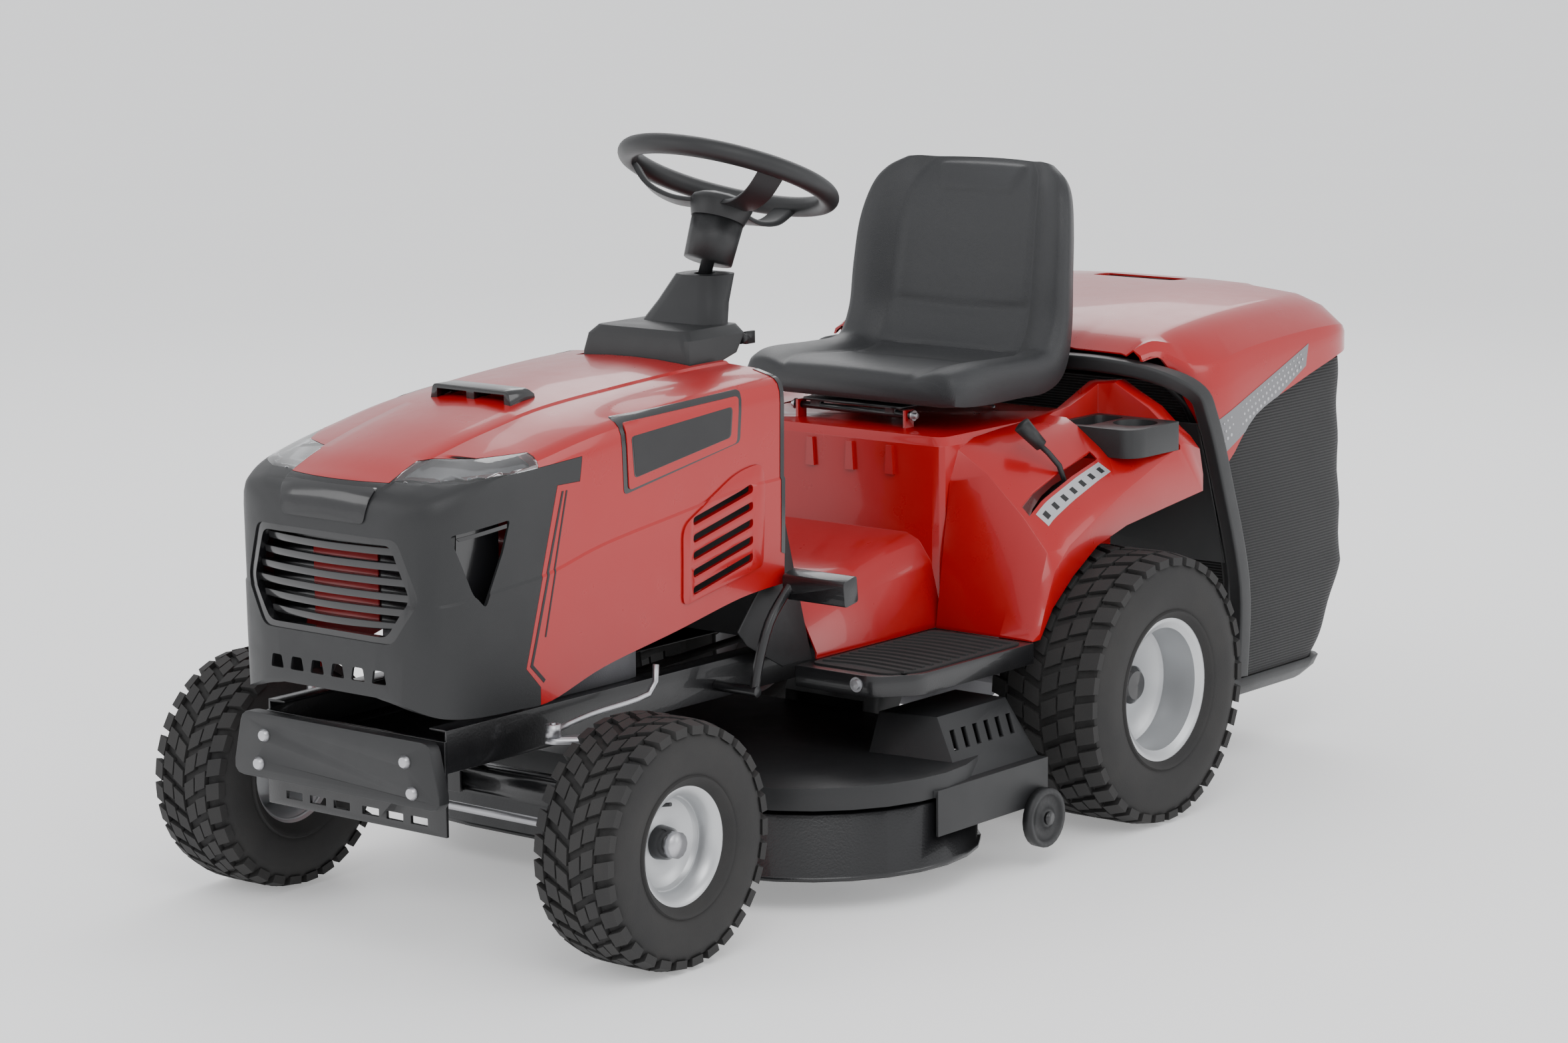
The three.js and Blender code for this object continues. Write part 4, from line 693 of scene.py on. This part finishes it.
class MOWER_OT_wheels(bpy.types.Operator):
    """Build the treaded tyres, the rims and the hub caps"""

    bl_idname = "mower.wheels"
    bl_label = "Wheels"

    def execute(self, context):
        tread = context.scene.mower_tread
        for end, flange, rim_half, dish, hub, rows in (
            ("front", 90, 59, 12, 22, tread.front_rows),
            ("rear", 118, 93, 8, 30, tread.rear_rows),
        ):
            for side, hand in HANDS:
                low, high = (millimetres(c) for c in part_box(f"{end}_tyre_{side}"))
                centre = (low + high) / 2
                radius = (high.z - low.z) / 2
                half = (high.x - low.x) / 2
                body = f"{end}_wheel_{side}"
                tyre = tyre_form(centre, radius, half, flange, rows, millis(tread.height))
                make(
                    f"{end}_{side}_treaded_tyre", tyre, "tyre", body, angle=40,
                    stands_for=(f"{end}_tyre_{side}",),
                )
                disc, shell = rim_profiles(flange, rim_half, dish, hub)
                wheel = lathe(disc, centre, (hand, 0, 0)).add(lathe(shell, centre, (hand, 0, 0)))
                make(
                    f"{end}_{side}_pressed_rim", wheel, "silver", body, angle=50,
                    stands_for=(f"{end}_rim_{side}",),
                )
                cap = [
                    (TIP, dish + 30), (hub * 0.8, dish + 28), (hub + 2, dish + 20), (hub + 4, dish + 2),
                    (TIP, dish + 2),
                ]
                make(f"{end}_{side}_hub_cap", lathe(cap, centre, (hand, 0, 0), 40), "black", body)
                valve_foot = centre + Vector((hand * (dish + 4), 0, flange * 0.62))
                valve = sweep([valve_foot, valve_foot + Vector((hand * 20, 0, 4))], circle(3.2, 10), 2)
                make(f"{end}_{side}_valve", valve, "black", body)
        return {"FINISHED"}


# ---------------------------------------------------------------- hood and nose

HOOD_ROWS = [
    (-261, 100, 430, 648, 60, 660, 664), (-256, 142, 404, 682, 85, 692, 696),
    (-240, 186, 388, 697, 95, 710, 715),
    (-215, 208, 381, 708, 100, 722, 728), (-170, 222, 378, 723, 104, 740, 748),
    (-100, 231, 378, 739, 108, 759, 769),
    (-28, 234, 380, 753, 112, 775, 785), (86, 237, 412, 773, 118, 795, 804),
    (250, 240, 440, 790, 124, 808, 816),
    (400, 243, 468, 800, 128, 816, 823), (505, 245, 476, 803, 130, 818, 824),
]


def hood_form(inset, rear=0, down=0):
    rows = spline(HOOD_ROWS, 6)
    rings = []
    for i, (y, half, bottom, edge, crease, crease_z, top) in enumerate(rows):
        y += inset if y < -200 else 0
        y += rear if i == len(rows) - 1 else 0
        half -= inset
        bottom -= down
        edge, crease_z, top = edge - inset, crease_z - inset, top - inset
        waist = bottom + (edge - bottom) * 0.52
        right = [
            (half - 2, bottom), (half, (bottom + waist) / 2), (half + 1, waist - 4), (half - 1.5, waist),
            (half, edge - 40), (half - 1, edge - 22), (half - 5, edge - 10), (half - 12, edge - 3),
            (half - 22, edge + 1),
            ((half + crease) / 2, (edge + crease_z) / 2 + 2), (crease + 5, crease_z - 2.5),
            (crease, crease_z + 1),
            (crease * 0.75, crease_z * 0.45 + top * 0.55), (crease * 0.4, top), (0, top + 1),
        ]
        left = [(-x, z) for x, z in reversed(right[:-1])]
        rings.append([(x, y, z) for x, z in right + left])
    return loft(rings)


HOOD_WALL = hood_form(4, 20, 60)  # taken from a solid hood, this leaves its wall
HOOD_SOLID = hood_form(0.0, 5, 5)  # taken from a grown hood, this leaves a thin skin
MOULD_GAP = 0.6
FAR = 300  # past the hood in every direction
HOOD_SIDE = 150  # decals on the hood's sides lie beyond this x


def nose_region(grow):
    """What belongs to the nose moulding, seen from the side, and grown by a gap."""
    outline = [
        (-FAR, 300), (-52 + grow, 300), (-52 + grow, 404), (-82 + grow, 436), (-10 + grow, 700 - grow),
        (38 + grow, 700 - grow), (44 + grow, 736 + grow), (-265, 716 + grow), (-FAR, 716 + grow),
    ]
    return slab("side", outline, -FAR, FAR)


def lamp_sill(y):
    """The height of the lamps' lower edge."""
    return 716 + (y + 265) * 20 / 309


def lamp_region(grow):
    tall, rear = 21 + grow, -47 + grow
    outline = [
        (-FAR, lamp_sill(-FAR)), (rear, lamp_sill(-47)), (rear, lamp_sill(-47) + tall),
        (-FAR, lamp_sill(-FAR) + tall),
    ]
    return slab("side", outline, 100 - grow, FAR)


def side_skin(name, outline, finish_name, proud):
    """A thin decal or pad that follows both sides of the hood's skin inside an outline."""
    for side, hand in HANDS:
        region = slab("side", outline, *on_side(hand, HOOD_SIDE, FAR))
        make(
            f"{name}_{side}", hood_form(-proud), finish_name, "hood", keeps=(region,), cuts=(HOOD_SOLID,)
        )


def grown(line, width):
    """An outline pushed out from its middle."""
    centre = sum((Vector(p) for p in line), Vector((0, 0))) / len(line)
    return [tuple(Vector(p) + (Vector(p) - centre).normalized() * width) for p in line]


def louvre_slots():
    slots = []
    for i in range(5):
        z = 490 + i * 27
        slot = rounded([(285, z, 5), (425, z + 34, 5), (425, z + 47, 5), (285, z + 13, 5)], 3)
        slots.append(slab("side", slot, -FAR, FAR))
    return slots


class MOWER_OT_hood(bpy.types.Operator):
    """Build the red hood with its louvres, creases and side graphics"""

    bl_idname = "mower.hood"
    bl_label = "Hood"

    def execute(self, context):
        notch = block((-120, 120), (428, 520), (780, 900))
        lamps = lamp_region(MOULD_GAP)
        cuts = [HOOD_WALL, nose_region(MOULD_GAP), lamps, lamps.mirrored(), notch, *louvre_slots()]
        for _, hand in HANDS:
            cuts.append(block(on_side(hand, 12, 58), (70, 100), (750, 850)))
        make(
            "hood_skin", hood_form(0), "red", "hood", cuts=cuts, angle=26, stands_for=("hood_shell",),
        )
        plaque = rounded([(128, 782, 8), (406, 795, 8), (400, 713, 8), (134, 666, 8)], 4)
        side_skin("plaque_gap", plaque, "black", 0.7)
        side_skin("plaque_panel", [(y * 0.93 + 19, z * 0.88 + 86) for y, z in plaque], "red", 2.4)
        label = rounded([(152, 752, 7), (378, 770, 7), (374, 724, 7), (158, 690, 7)], 4)
        side_skin("plaque_label", label, "satin", 3.0)
        side_skin("plaque_border", grown(label, 3.0), "black", 2.7)
        stripe = [(-1, 690), (3, 690), (-68, 440), (-42, 414), (-46, 410), (-74, 438)]
        side_skin("hood_stripe", stripe, "satin", 0.6)
        inner_stripe = [(8, 690), (11, 690), (-40, 478), (-43, 478)]
        side_skin("hood_stripe_inner", inner_stripe, "satin", 0.6)
        swell = rounded([(262, 476, 14), (450, 512, 10), (456, 676, 26), (392, 668, 30), (262, 600, 20)], 5)
        for side, hand in HANDS:
            make(
                f"louvre_panel_{side}", hood_form(-3.0), "red", "hood", edge=1.2, angle=30,
                keeps=(slab("side", swell, *on_side(hand, HOOD_SIDE, FAR)),),
                cuts=(HOOD_SOLID, *louvre_slots()),
            )
        trim = slab("side", [(496, 470), (505, 470), (505, 812), (496, 812)], -FAR, FAR)
        make(
            "hood_rear_trim", hood_form(-1.0), "black", "hood", keeps=(trim,),
            cuts=(hood_form(-0.1, 5, 60), notch),
        )
        return {"FINISHED"}


GRILLE_MIDDLE = 566
GRILLE_OUTLINE = [
    (-130, 634, 12), (-160, 556, 14), (-120, 498, 12), (120, 498, 12), (160, 556, 14), (130, 634, 12),
]
SLAT_BOW = ((-1, -236), (-0.6, -246), (0, -252), (0.6, -246), (1, -236))
LAMP_DIODES = ((122, -208), (148, -196), (172, -178), (194, -152))


class MOWER_OT_nose(bpy.types.Operator):
    """Build the dark nose, the stepped grille and the headlights"""

    bl_idname = "mower.nose"
    bl_label = "Nose"

    def execute(self, context):
        opening = rounded(GRILLE_OUTLINE, 4)
        step = [(u * 1.1, GRILLE_MIDDLE + (z - GRILLE_MIDDLE) * 1.14) for u, z in opening]
        stepped = slab("front", step, -FAR, -180)
        intake = rounded([(-214, 650, 8), (-108, 662, 7), (-122, 618, 8), (-158, 538, 8), (-178, 560, 10)], 4)
        cuts = [HOOD_WALL, stepped, slab("side", intake, -FAR, FAR)]
        for x in (-105, -63, -21, 21, 63, 105):
            slot = rounded([(x - 14, 428, 3), (x + 14, 428, 3), (x + 10, 448, 3), (x - 10, 448, 3)], 2)
            cuts.append(slab("front", slot, -FAR, -230))
        make(
            "nose_skin", hood_form(0), "satin", "hood", keeps=(nose_region(0),), cuts=cuts, angle=26,
            stands_for=("nose_cowl",),
        )
        make(
            "grille_bezel", hood_form(2.2), "black", "hood", keeps=(stepped,),
            cuts=(slab("front", opening, -FAR, -150), hood_form(14, 20, 60)),
        )
        badge = rounded([(-94, 713, 8), (-83, 662, 8), (83, 662, 8), (94, 713, 8)], 4)
        plate = slab("front", badge, -FAR, -150)
        make("nose_plate", hood_form(-2.2), "black", "hood", keeps=(plate,), cuts=(HOOD_SOLID,))
        side_skin("intake_lip", [(-206, 646), (-116, 657), (-116, 651), (-200, 641)], "black", 1.4)
        for side, hand in HANDS:
            web = block(on_side(hand, 165, 198), (-226, -100), (520, 670))
            make(f"intake_back_{side}", web, "black", "hood", keeps=(hood_form(16),))
        slats = Form()
        for i in range(6):
            z = 514 + i * 22
            half = 128 + (z - 516) * 0.7 if z < 556 else 156 - (z - 556) * 0.36
            bow = [(half * share, y, z) for share, y in SLAT_BOW]
            slats.add(sweep(bow, rounded([(-10, -5, 2), (6, -7, 2), (8, 5, 2), (-10, 4, 2)], 2), 6))
        make("grille_slats", slats, "black", "hood", stands_for=("grille",))
        back = block((-150, 150), (-218, -215), (500, 636))
        make("grille_back", back, "black", "hood", keeps=(hood_form(8),))
        make("grille_shroud", block((-62, 70), (-221, -218.5), (506, 612)), "red", "hood")
        dish = lathe([(1.5, 0), (5.5, 4), (6, 4), (2, -1)], (0, 0, 0), (0, -1, 0), 20)
        diodes = Form()
        for i, (x, y) in enumerate(LAMP_DIODES):
            at = Vector((x, y, lamp_sill(y) - 4))
            lean = Matrix.Rotation(math.radians(38 * i / 3), 3, "Z")
            diodes.add(dish.moved(lambda p, at=at, lean=lean: tuple(lean @ p + at)))
        for side, hand in HANDS:
            make(
                f"lamp_lens_{side}", hood_form(0), "lens", "hood", keeps=(lamp_region(0).on(hand),),
                cuts=(hood_form(2.5, 20, 60),), stands_for=(f"headlight_{side}",),
            )
            make(
                f"lamp_reflector_{side}", hood_form(11), "black", "hood", keeps=(lamp_region(-2).on(hand),),
                cuts=(hood_form(14, 20, 60),),
            )
            make(f"lamp_diodes_{side}", diodes.on(hand), "mirror_metal", "hood")
        return {"FINISHED"}


# ---------------------------------------------------------------- steering wheel

WHEEL_TURN = Matrix.Rotation(-math.radians(22.1), 3, "X")
WHEEL_CENTRE = Vector((0, 671, 1092))


def in_wheel_plane(form):
    return form.moved(lambda p: tuple(WHEEL_TURN @ p + WHEEL_CENTRE))


class MOWER_OT_steering_wheel(bpy.types.Operator):
    """Build the steering wheel's rim, spokes and shroud"""

    bl_idname = "mower.steering_wheel"
    bl_label = "Steering wheel"

    def execute(self, context):
        turns = [2 * math.pi * k / 20 for k in range(20)]
        grip = [(166 + 17.5 * math.cos(a), 16.5 * math.sin(a)) for a in turns]
        ring = lathe(grip, (0, 0, 0), (0, 0, 1), 96)
        spokes = Form()
        for degrees in (90, 205, 335):
            turn = Matrix.Rotation(math.radians(degrees), 3, "Z")
            path = [(30, 0, -52), (80, 0, -54), (125, 0, -40), (156, 0, -10)]
            section = rounded([(-24, -4, 3), (24, -4, 3), (19, 5, 4), (-19, 5, 4)], 3)
            spokes.add(sweep(path, section, 6).moved(lambda p, turn=turn: tuple(turn @ p)))
        hub = [(TIP, -36), (38, -37), (48, -42), (52, -50), (44, -76), (TIP, -76)]
        disc = lathe(hub, (0, 0, 0), (0, 0, 1), 48)
        whole = in_wheel_plane(ring.add(spokes).add(disc))
        make(
            "steering_wheel_rim", whole, "satin", "steering", angle=50, stands_for=("steering_wheel",),
        )
        badge = lathe([(TIP, -33.5), (30, -34.5), (33, -37), (TIP, -37)], (0, 0, 0), (0, 0, 1), 40)
        make("steering_wheel_cap", in_wheel_plane(badge), "black", "steering")
        return {"FINISHED"}


# ---------------------------------------------------------------- seat

SEAT_ROWS = [
    (972, 716, 0, 26, 205, 0, 0), (986, 719, 0, 54, 228, 2, 0), (1040, 722, 0, 68, 240, 8, 0),
    (1150, 721, 0, 66, 240, 14, 0), (1222, 722, 8, 66, 240, 16, 4), (1266, 742, 42, 62, 238, 14, 14),
    (1289, 800, 76, 50, 235, 8, 28), (1297, 880, 82, 46, 232, 6, 38), (1308, 957, 82, 44, 226, 5, 42),
    (1325, 1015, 76, 40, 212, 4, 44), (1340, 1046, 70, 30, 192, 2, 46), (1352, 1066, 66, 14, 160, 0, 46),
]


def bump_at(x, middle, width):
    return math.exp(-(((x - middle) / width) ** 2))


def step_up(x, start, width):
    return 1 / (1 + math.exp(-(x - start) / width))


class MOWER_OT_seat(bpy.types.Operator):
    """Build the moulded seat with its bolsters, creases and headrest panel"""

    bl_idname = "mower.seat"
    bl_label = "Seat"

    def execute(self, context):
        seat = context.scene.mower_seat
        groove, crown = millis(seat.groove), millis(seat.crown)
        rows = spline(SEAT_ROWS, 9)
        across = 48
        rings = []
        for i, (y, z, lean, thick, half, dish, bow) in enumerate(rows):
            s = i / (len(rows) - 1)
            angle = math.radians(lean)
            t = thick / 2
            ring = []
            for k in range(across + 1):
                w = -1 + 2 * k / across
                size = abs(w)
                rise = t - dish * (1 - step_up(size, 0.66, 0.06))
                rise += 5 * bump_at(size, 0.82, 0.11)
                rise -= groove * bump_at(size, 0.64, 0.028) * min(1, 8 * s, 8 * (1 - s))
                rise -= (t + 2) * max(0.0, (size - 0.9) / 0.1) ** 3 * 0.8
                if size < 0.62:
                    rise += crown * (1 - (size / 0.62) ** 2) * 0.5
                    for place in (0.3, 0.44, 0.56):
                        rise -= groove * 0.7 * bump_at(s, place + 0.01 * (size / 0.6) ** 2, 0.008)
                panel = step_up(s, 0.81, 0.004) * (1 - step_up(s, 0.945, 0.004))
                rise += 5.0 * (panel * (1 - step_up(size, 0.36 + (s - 0.81), 0.01)))
                ring.append((w * half, rise))
            for w in (0.97, 0.8, 0.4, 0.0, -0.4, -0.8, -0.97):
                ring.append((w * half, -t + (4 if abs(w) > 0.9 else 0)))
            points = []
            for u, v in ring:
                back = bow * (1 - (u / half) ** 2)
                points.append((u, y + back - v * math.sin(angle), z + v * math.cos(angle)))
            rings.append(points)
        made = make(
            "seat_cushion", loft(rings), "vinyl", "seat_shell", angle=60, stands_for=("seat",)
        )
        return {"FINISHED"}


# ---------------------------------------------------------------- body details


class MOWER_OT_body_details(bpy.types.Operator):
    """Build the height scale, the foot mats and the small fasteners"""

    bl_idname = "mower.body_details"
    bl_label = "Body details"

    def execute(self, context):
        low, high = (millimetres(c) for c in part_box("footboard_left"))
        inside, top = low.x + 14, high.z + 3
        plate = [(inside, 560, 16), (400, 560, 22), (430, 610, 22), (430, 884, 14), (inside, 884, 14)]
        mat = slab("plan", rounded(plate, 4), high.z + 0.2, top)
        for i in range(13):
            y = 580 + i * 23
            path = [(inside + 10, y, top), (320, y + 12, top), (420, y + 6, top)]
            mat.add(sweep(path, rounded([(-4.5, -1, 0), (4.5, -1, 0), (3, 3, 1), (-3, 3, 1)], 2), 5))
        bolt_profile = [(TIP, 0), (12, 0), (12, 2.5), (8, 2.5), (8, 7), (TIP, 8)]
        bolt = lathe(bolt_profile, (360, 538.5, 322), (0, -1, 0), 24)
        for side, hand in HANDS:
            make(f"foot_mat_{side}", mat.on(hand), "mat", "chassis")
            make(f"foot_bolt_{side}", bolt.on(hand), "steel", "chassis")
        scale = [(382, 992, 520), (382, 1166, 600), (404, 1166, 600), (404, 992, 520)]
        draped("height_scale", "rear_body", scale, (0, 0.3, -1), "pale_line", "chassis")
        near_low, near_high, far_high, far_low = (Vector(corner) for corner in scale)
        for i in range(7):
            first, last = (i + 0.32) / 7, (i + 0.68) / 7
            mark = []
            for share, across in ((first, 0.3), (last, 0.3), (last, 0.75), (first, 0.75)):
                mark.append(near_low.lerp(near_high, share).lerp(far_low.lerp(far_high, share), across))
            draped(f"height_mark_{i + 1}", "rear_body", mark, (0, 0.3, -1), "satin", "chassis", 0.9, (3, 3))
        for i, x in enumerate((-120, -36, 48, 132)):
            rib = [(x - 9, 900, 584), (x - 6, 900, 632), (x + 6, 900, 632), (x + 9, 900, 584)]
            draped(f"seat_rib_{i + 1}", "rear_body", rib, (0, 1, 0), "red", "chassis", 6.0, (6, 3))
        pin = lathe([(TIP, 0), (9, 0), (9, 3), (5, 3), (5, 9), (TIP, 10)], (124.5, 996, 672), (1, 0, 0), 24)
        for side, hand in HANDS:
            make(f"seat_pin_{side}", pin.on(hand), "steel", "chassis")
        face = millimetres(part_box("bumper_plate")[0]).y + 4
        head = [(TIP, 0), (10.5, 0), (10.5, 2), (7.5, 6.5), (TIP, 7)]
        for x, z in ((146, 317), (159, 272)):
            bolt = lathe(head, (x, face, z), (0, -1, 0), 24)
            for side, hand in HANDS:
                make(f"bumper_bolt_{side}_{z}", bolt.on(hand), "steel", "chassis")
        return {"FINISHED"}


# ---------------------------------------------------------------- collector

LID_ROWS = [
    (1366, 336, 738, 744, 296, 750, 752), (1406, 350, 738, 748, 306, 770, 776),
    (1450, 388, 640, 724, 314, 780, 790),
    (1516, 402, 544, 728, 318, 790, 802), (1620, 403, 622, 740, 318, 799, 812),
    (1770, 402, 666, 748, 312, 804, 818),
    (1890, 398, 694, 748, 300, 802, 814), (1950, 380, 700, 740, 285, 794, 808),
    (1985, 350, 702, 730, 262, 778, 794),
    (2010, 290, 704, 718, 220, 744, 754),
]


def lid_form(inset, reach=0):
    rows = spline(LID_ROWS, 5)
    rings = []
    for i, (y, half, low, edge, shoulder, shoulder_z, top) in enumerate(rows):
        y -= reach if i == 0 else 0
        y -= inset if y > 1900 else 0
        right = [
            (half - inset, low - reach * 6), (half - inset, (low + edge) / 2), (half - inset, edge - inset - 6),
            (half - inset - 4, edge - inset + 4), ((half + shoulder) / 2, (edge + shoulder_z) / 2 - inset + 10),
            (shoulder + 6, shoulder_z - inset - 3), (shoulder - 4, shoulder_z - inset),
            (shoulder * 0.66, shoulder_z * 0.35 + top * 0.65 - inset),
            (shoulder * 0.62, shoulder_z * 0.3 + top * 0.7 - inset + 2),
            (shoulder * 0.3, top - inset + 1), (0, top - inset + 1),
        ]
        left = [(-x, z) for x, z in reversed(right[:-1])]
        rings.append([(x, y, z) for x, z in right + left])
    return loft(rings)


def grip_form(grow, low, high):
    """The lid's hand recess, grown by a wall, between two heights."""
    half, front, rear = 90 + grow, 1826 - grow, 1884 + grow
    corners = [(-half, front, 12), (half, front, 12), (half, rear, 12), (-half, rear, 12)]
    return slab("plan", rounded(corners, 4), low, high)


# Heights of the bag, each with its half width, its front and its rear.
BAG_ROWS = [
    (150, 384, 1594, 1890), (200, 392, 1592, 1915), (300, 396, 1592, 1962), (345, 396, 1592, 1966),
    (535, 394, 1532, 1958), (640, 391, 1494, 1962), (688, 388, 1474, 1966),
]


BAG_CELL = 26


def bag_skin(slack):
    """The bag's rings, with waves at the rear, gathers along the front edge and a slight billow."""
    rows = spline(BAG_ROWS, 7)
    sides = []
    for z, half, front, rear in rows:
        outline = rounded([(-half, front, 6), (half, front, 6), (half, rear, 70), (-half, rear, 70)], 9)
        ring = [Vector((u, v, z)) for u, v in outline]
        sides.append(list(zip(ring, ring[1:] + ring[:1])))
    parts = [max(max(1, round((b - a).length / BAG_CELL)) for a, b in each) for each in zip(*sides)]
    skin = []
    for (z, half, front, rear), side in zip(rows, sides):
        ring = []
        for (here, onward), count in zip(side, parts):
            for j in range(count):
                p = here.lerp(onward, j / count)
                toward = (p.y - front) / (rear - front)
                wave = slack * math.sin(z / 19.0 + p.x / 90.0) * max(0.0, toward - 0.55)
                gather = 2.0 * math.sin(z / 8.5) * bump_at(p.y, front, BAG_CELL)
                bulge = math.sin(math.pi * (z - 150) / 538) * math.sin(math.pi * min(1, max(0, toward)))
                out = Vector((p.x / half, (toward - 0.5) * 1.2, 0))
                ring.append(tuple(p + out * (wave + gather + 5.0 * bulge - 4)))
        skin.append(ring)
    return skin


class MOWER_OT_collector(bpy.types.Operator):
    """Build the collector's lid, its fabric bag and the arch round its front"""

    bl_idname = "mower.collector"
    bl_label = "Collector"

    def execute(self, context):
        make(
            "lid_skin", lid_form(0), "red", "collector", angle=24,
            cuts=(lid_form(4, 6), grip_form(0, 802, 900)), stands_for=("collector_lid",),
        )
        make("lid_grip", grip_form(4, 796, 812), "satin", "collector", cuts=(grip_form(-1, 800, 830),))
        strip = [(1506, 627), (1792, 729), (1784, 690), (1515, 563)]
        dots = Form()
        for i in range(22):
            for j in range(3):
                along = (i + 0.5 + 0.5 * (j % 2)) / 23
                y = 1512 + along * 270
                z = 600 + along * 108 + (j - 1) * (16 - 5 * along)
                dot = [(TIP, 0), (3.2 - 0.6 * j, 0), (3.0 - 0.6 * j, 0.5), (TIP, 0.6)]
                dots.add(lathe(dot, (403.8, y, z), (1, 0, 0), 10))
        for side, hand in HANDS:
            make(
                f"lid_strip_{side}", lid_form(-1.0), "grey_line", "collector",
                keeps=(slab("side", strip, *on_side(hand, 250, 420)),), cuts=(lid_form(0.0, 1),),
            )
            make(f"lid_dots_{side}", dots.on(hand), "pale_line", "collector")
        skin = bag_skin(millis(context.scene.mower_bag.slack))
        bag = add_object("bag_fabric", mesh_of("bag_fabric", loft(skin, caps=False)))
        modify(bag, "SOLIDIFY", thickness=1.4 * MM, offset=-1)
        settle(bag)
        smooth(bag, 60)
        bag.data.materials.append(finish("fabric"))
        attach(bag, "collector")
        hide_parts("collector_bag")
        arch = [
            (420, 1536, 172), (420, 1540, 334), (420, 1478, 531), (417, 1438, 640), (404, 1420, 684),
            (356, 1372, 716), (270, 1348, 729), (150, 1345, 730), (0, 1345, 730),
        ]
        whole = arch + [(-x, y, z) for x, y, z in reversed(arch[:-1])]
        section = rounded([(-14, -12, 6), (12, -12, 6), (14, 22, 6), (-14, 22, 6)], 4)
        make(
            "arch_surround", sweep(whole, section, 6, up=(0, 1, 0.0001)), "satin", "chassis",
            stands_for=("rear_surround",),
        )
        return {"FINISHED"}


# ---------------------------------------------------------------- stage

FLOOR_REACH = 30
CAMERA_AT = (4225, -4396, 1676)
CAMERA_YAW, CAMERA_PITCH, CAMERA_ROLL = 129.09, -9.9, -0.56
CAMERA_LENS = 93.93


class MOWER_OT_stage(bpy.types.Operator):
    """Build the floor, the studio light and the camera"""

    bl_idname = "mower.stage"
    bl_label = "Stage"

    def execute(self, context):
        floor_mesh = bpy.data.meshes.new("floor")
        corners = [(x * FLOOR_REACH, y * FLOOR_REACH, 0) for x, y in ((-1, -1), (1, -1), (1, 1), (-1, 1))]
        floor_mesh.from_pydata(corners, [], [(0, 1, 2, 3)])
        floor = add_object("floor", floor_mesh)
        floor.data.materials.append(finish("floor"))
        world = bpy.data.worlds.new("studio")
        world.use_nodes = True
        background = world.node_tree.nodes["Background"]
        background.inputs["Color"].default_value = (0.97, 0.98, 1.0, 1.0)
        background.inputs["Strength"].default_value = 1.0
        context.scene.world = world
        for name, at, size, power in (
            ("key", (3.2, -3.0, 4.6), 3.0, 90),
            ("side", (4.6, 1.8, 2.4), 2.4, 40),
            ("front", (-2.6, -4.4, 2.6), 2.4, 35),
            ("back", (-2.5, 4.0, 4.0), 3.0, 70),
        ):
            light = bpy.data.lights.new(name, "AREA")
            light.size = size
            light.energy = power
            lamp = add_object(name, light)
            lamp.location = at
            lamp.rotation_euler = (Vector((0, 0, 0.5)) - Vector(at)).to_track_quat("-Z", "Y").to_euler()
        camera = add_object("camera", bpy.data.cameras.new("camera"))
        yaw, pitch = math.radians(CAMERA_YAW), math.radians(CAMERA_PITCH)
        forward = Vector((math.cos(pitch) * math.cos(yaw), math.cos(pitch) * math.sin(yaw), math.sin(pitch)))
        turn = forward.to_track_quat("-Z", "Y").to_matrix() @ Matrix.Rotation(math.radians(CAMERA_ROLL), 3, "Z")
        camera.location = metres(CAMERA_AT)
        camera.rotation_euler = turn.to_euler()
        camera.data.lens = CAMERA_LENS
        camera.data.sensor_width = 36
        camera.data.clip_end = 200
        context.scene.camera = camera
        return {"FINISHED"}


class MOWER_PT_panel(bpy.types.Panel):
    """Lists the mower's settings and the steps that build it"""

    bl_label = "Riding lawn mower"
    bl_idname = "MOWER_PT_panel"
    bl_space_type = "VIEW_3D"
    bl_region_type = "UI"
    bl_category = "Mower"

    def draw(self, context):
        for group in SETTINGS:
            for name in SETTINGS[group].__annotations__:
                self.layout.prop(getattr(context.scene, group), name)
        for operator in STEPS:
            self.layout.operator(operator.bl_idname)


SETTINGS = {
    "mower_colours": MowerColours,
    "mower_tread": MowerTread,
    "mower_seat": MowerSeat,
    "mower_bag": MowerBag,
}
STEPS = (
    MOWER_OT_finishes,
    MOWER_OT_carried_parts,
    MOWER_OT_wheels,
    MOWER_OT_hood,
    MOWER_OT_nose,
    MOWER_OT_steering_wheel,
    MOWER_OT_seat,
    MOWER_OT_body_details,
    MOWER_OT_collector,
    MOWER_OT_stage,
)
CLASSES = (*SETTINGS.values(), *STEPS, MOWER_PT_panel)


def register():
    for each in CLASSES:
        bpy.utils.register_class(each)
    for name, group in SETTINGS.items():
        setattr(bpy.types.Scene, name, bpy.props.PointerProperty(type=group))


def unregister():
    for name in SETTINGS:
        delattr(bpy.types.Scene, name)
    for each in reversed(CLASSES):
        bpy.utils.unregister_class(each)


def main():
    register()
    for step in STEPS:
        group, name = step.bl_idname.split(".")
        result = getattr(getattr(bpy.ops, group), name)()
        if "FINISHED" not in result:
            raise RuntimeError(f"{step.bl_label} did not finish")


if __name__ == "__main__":
    main()
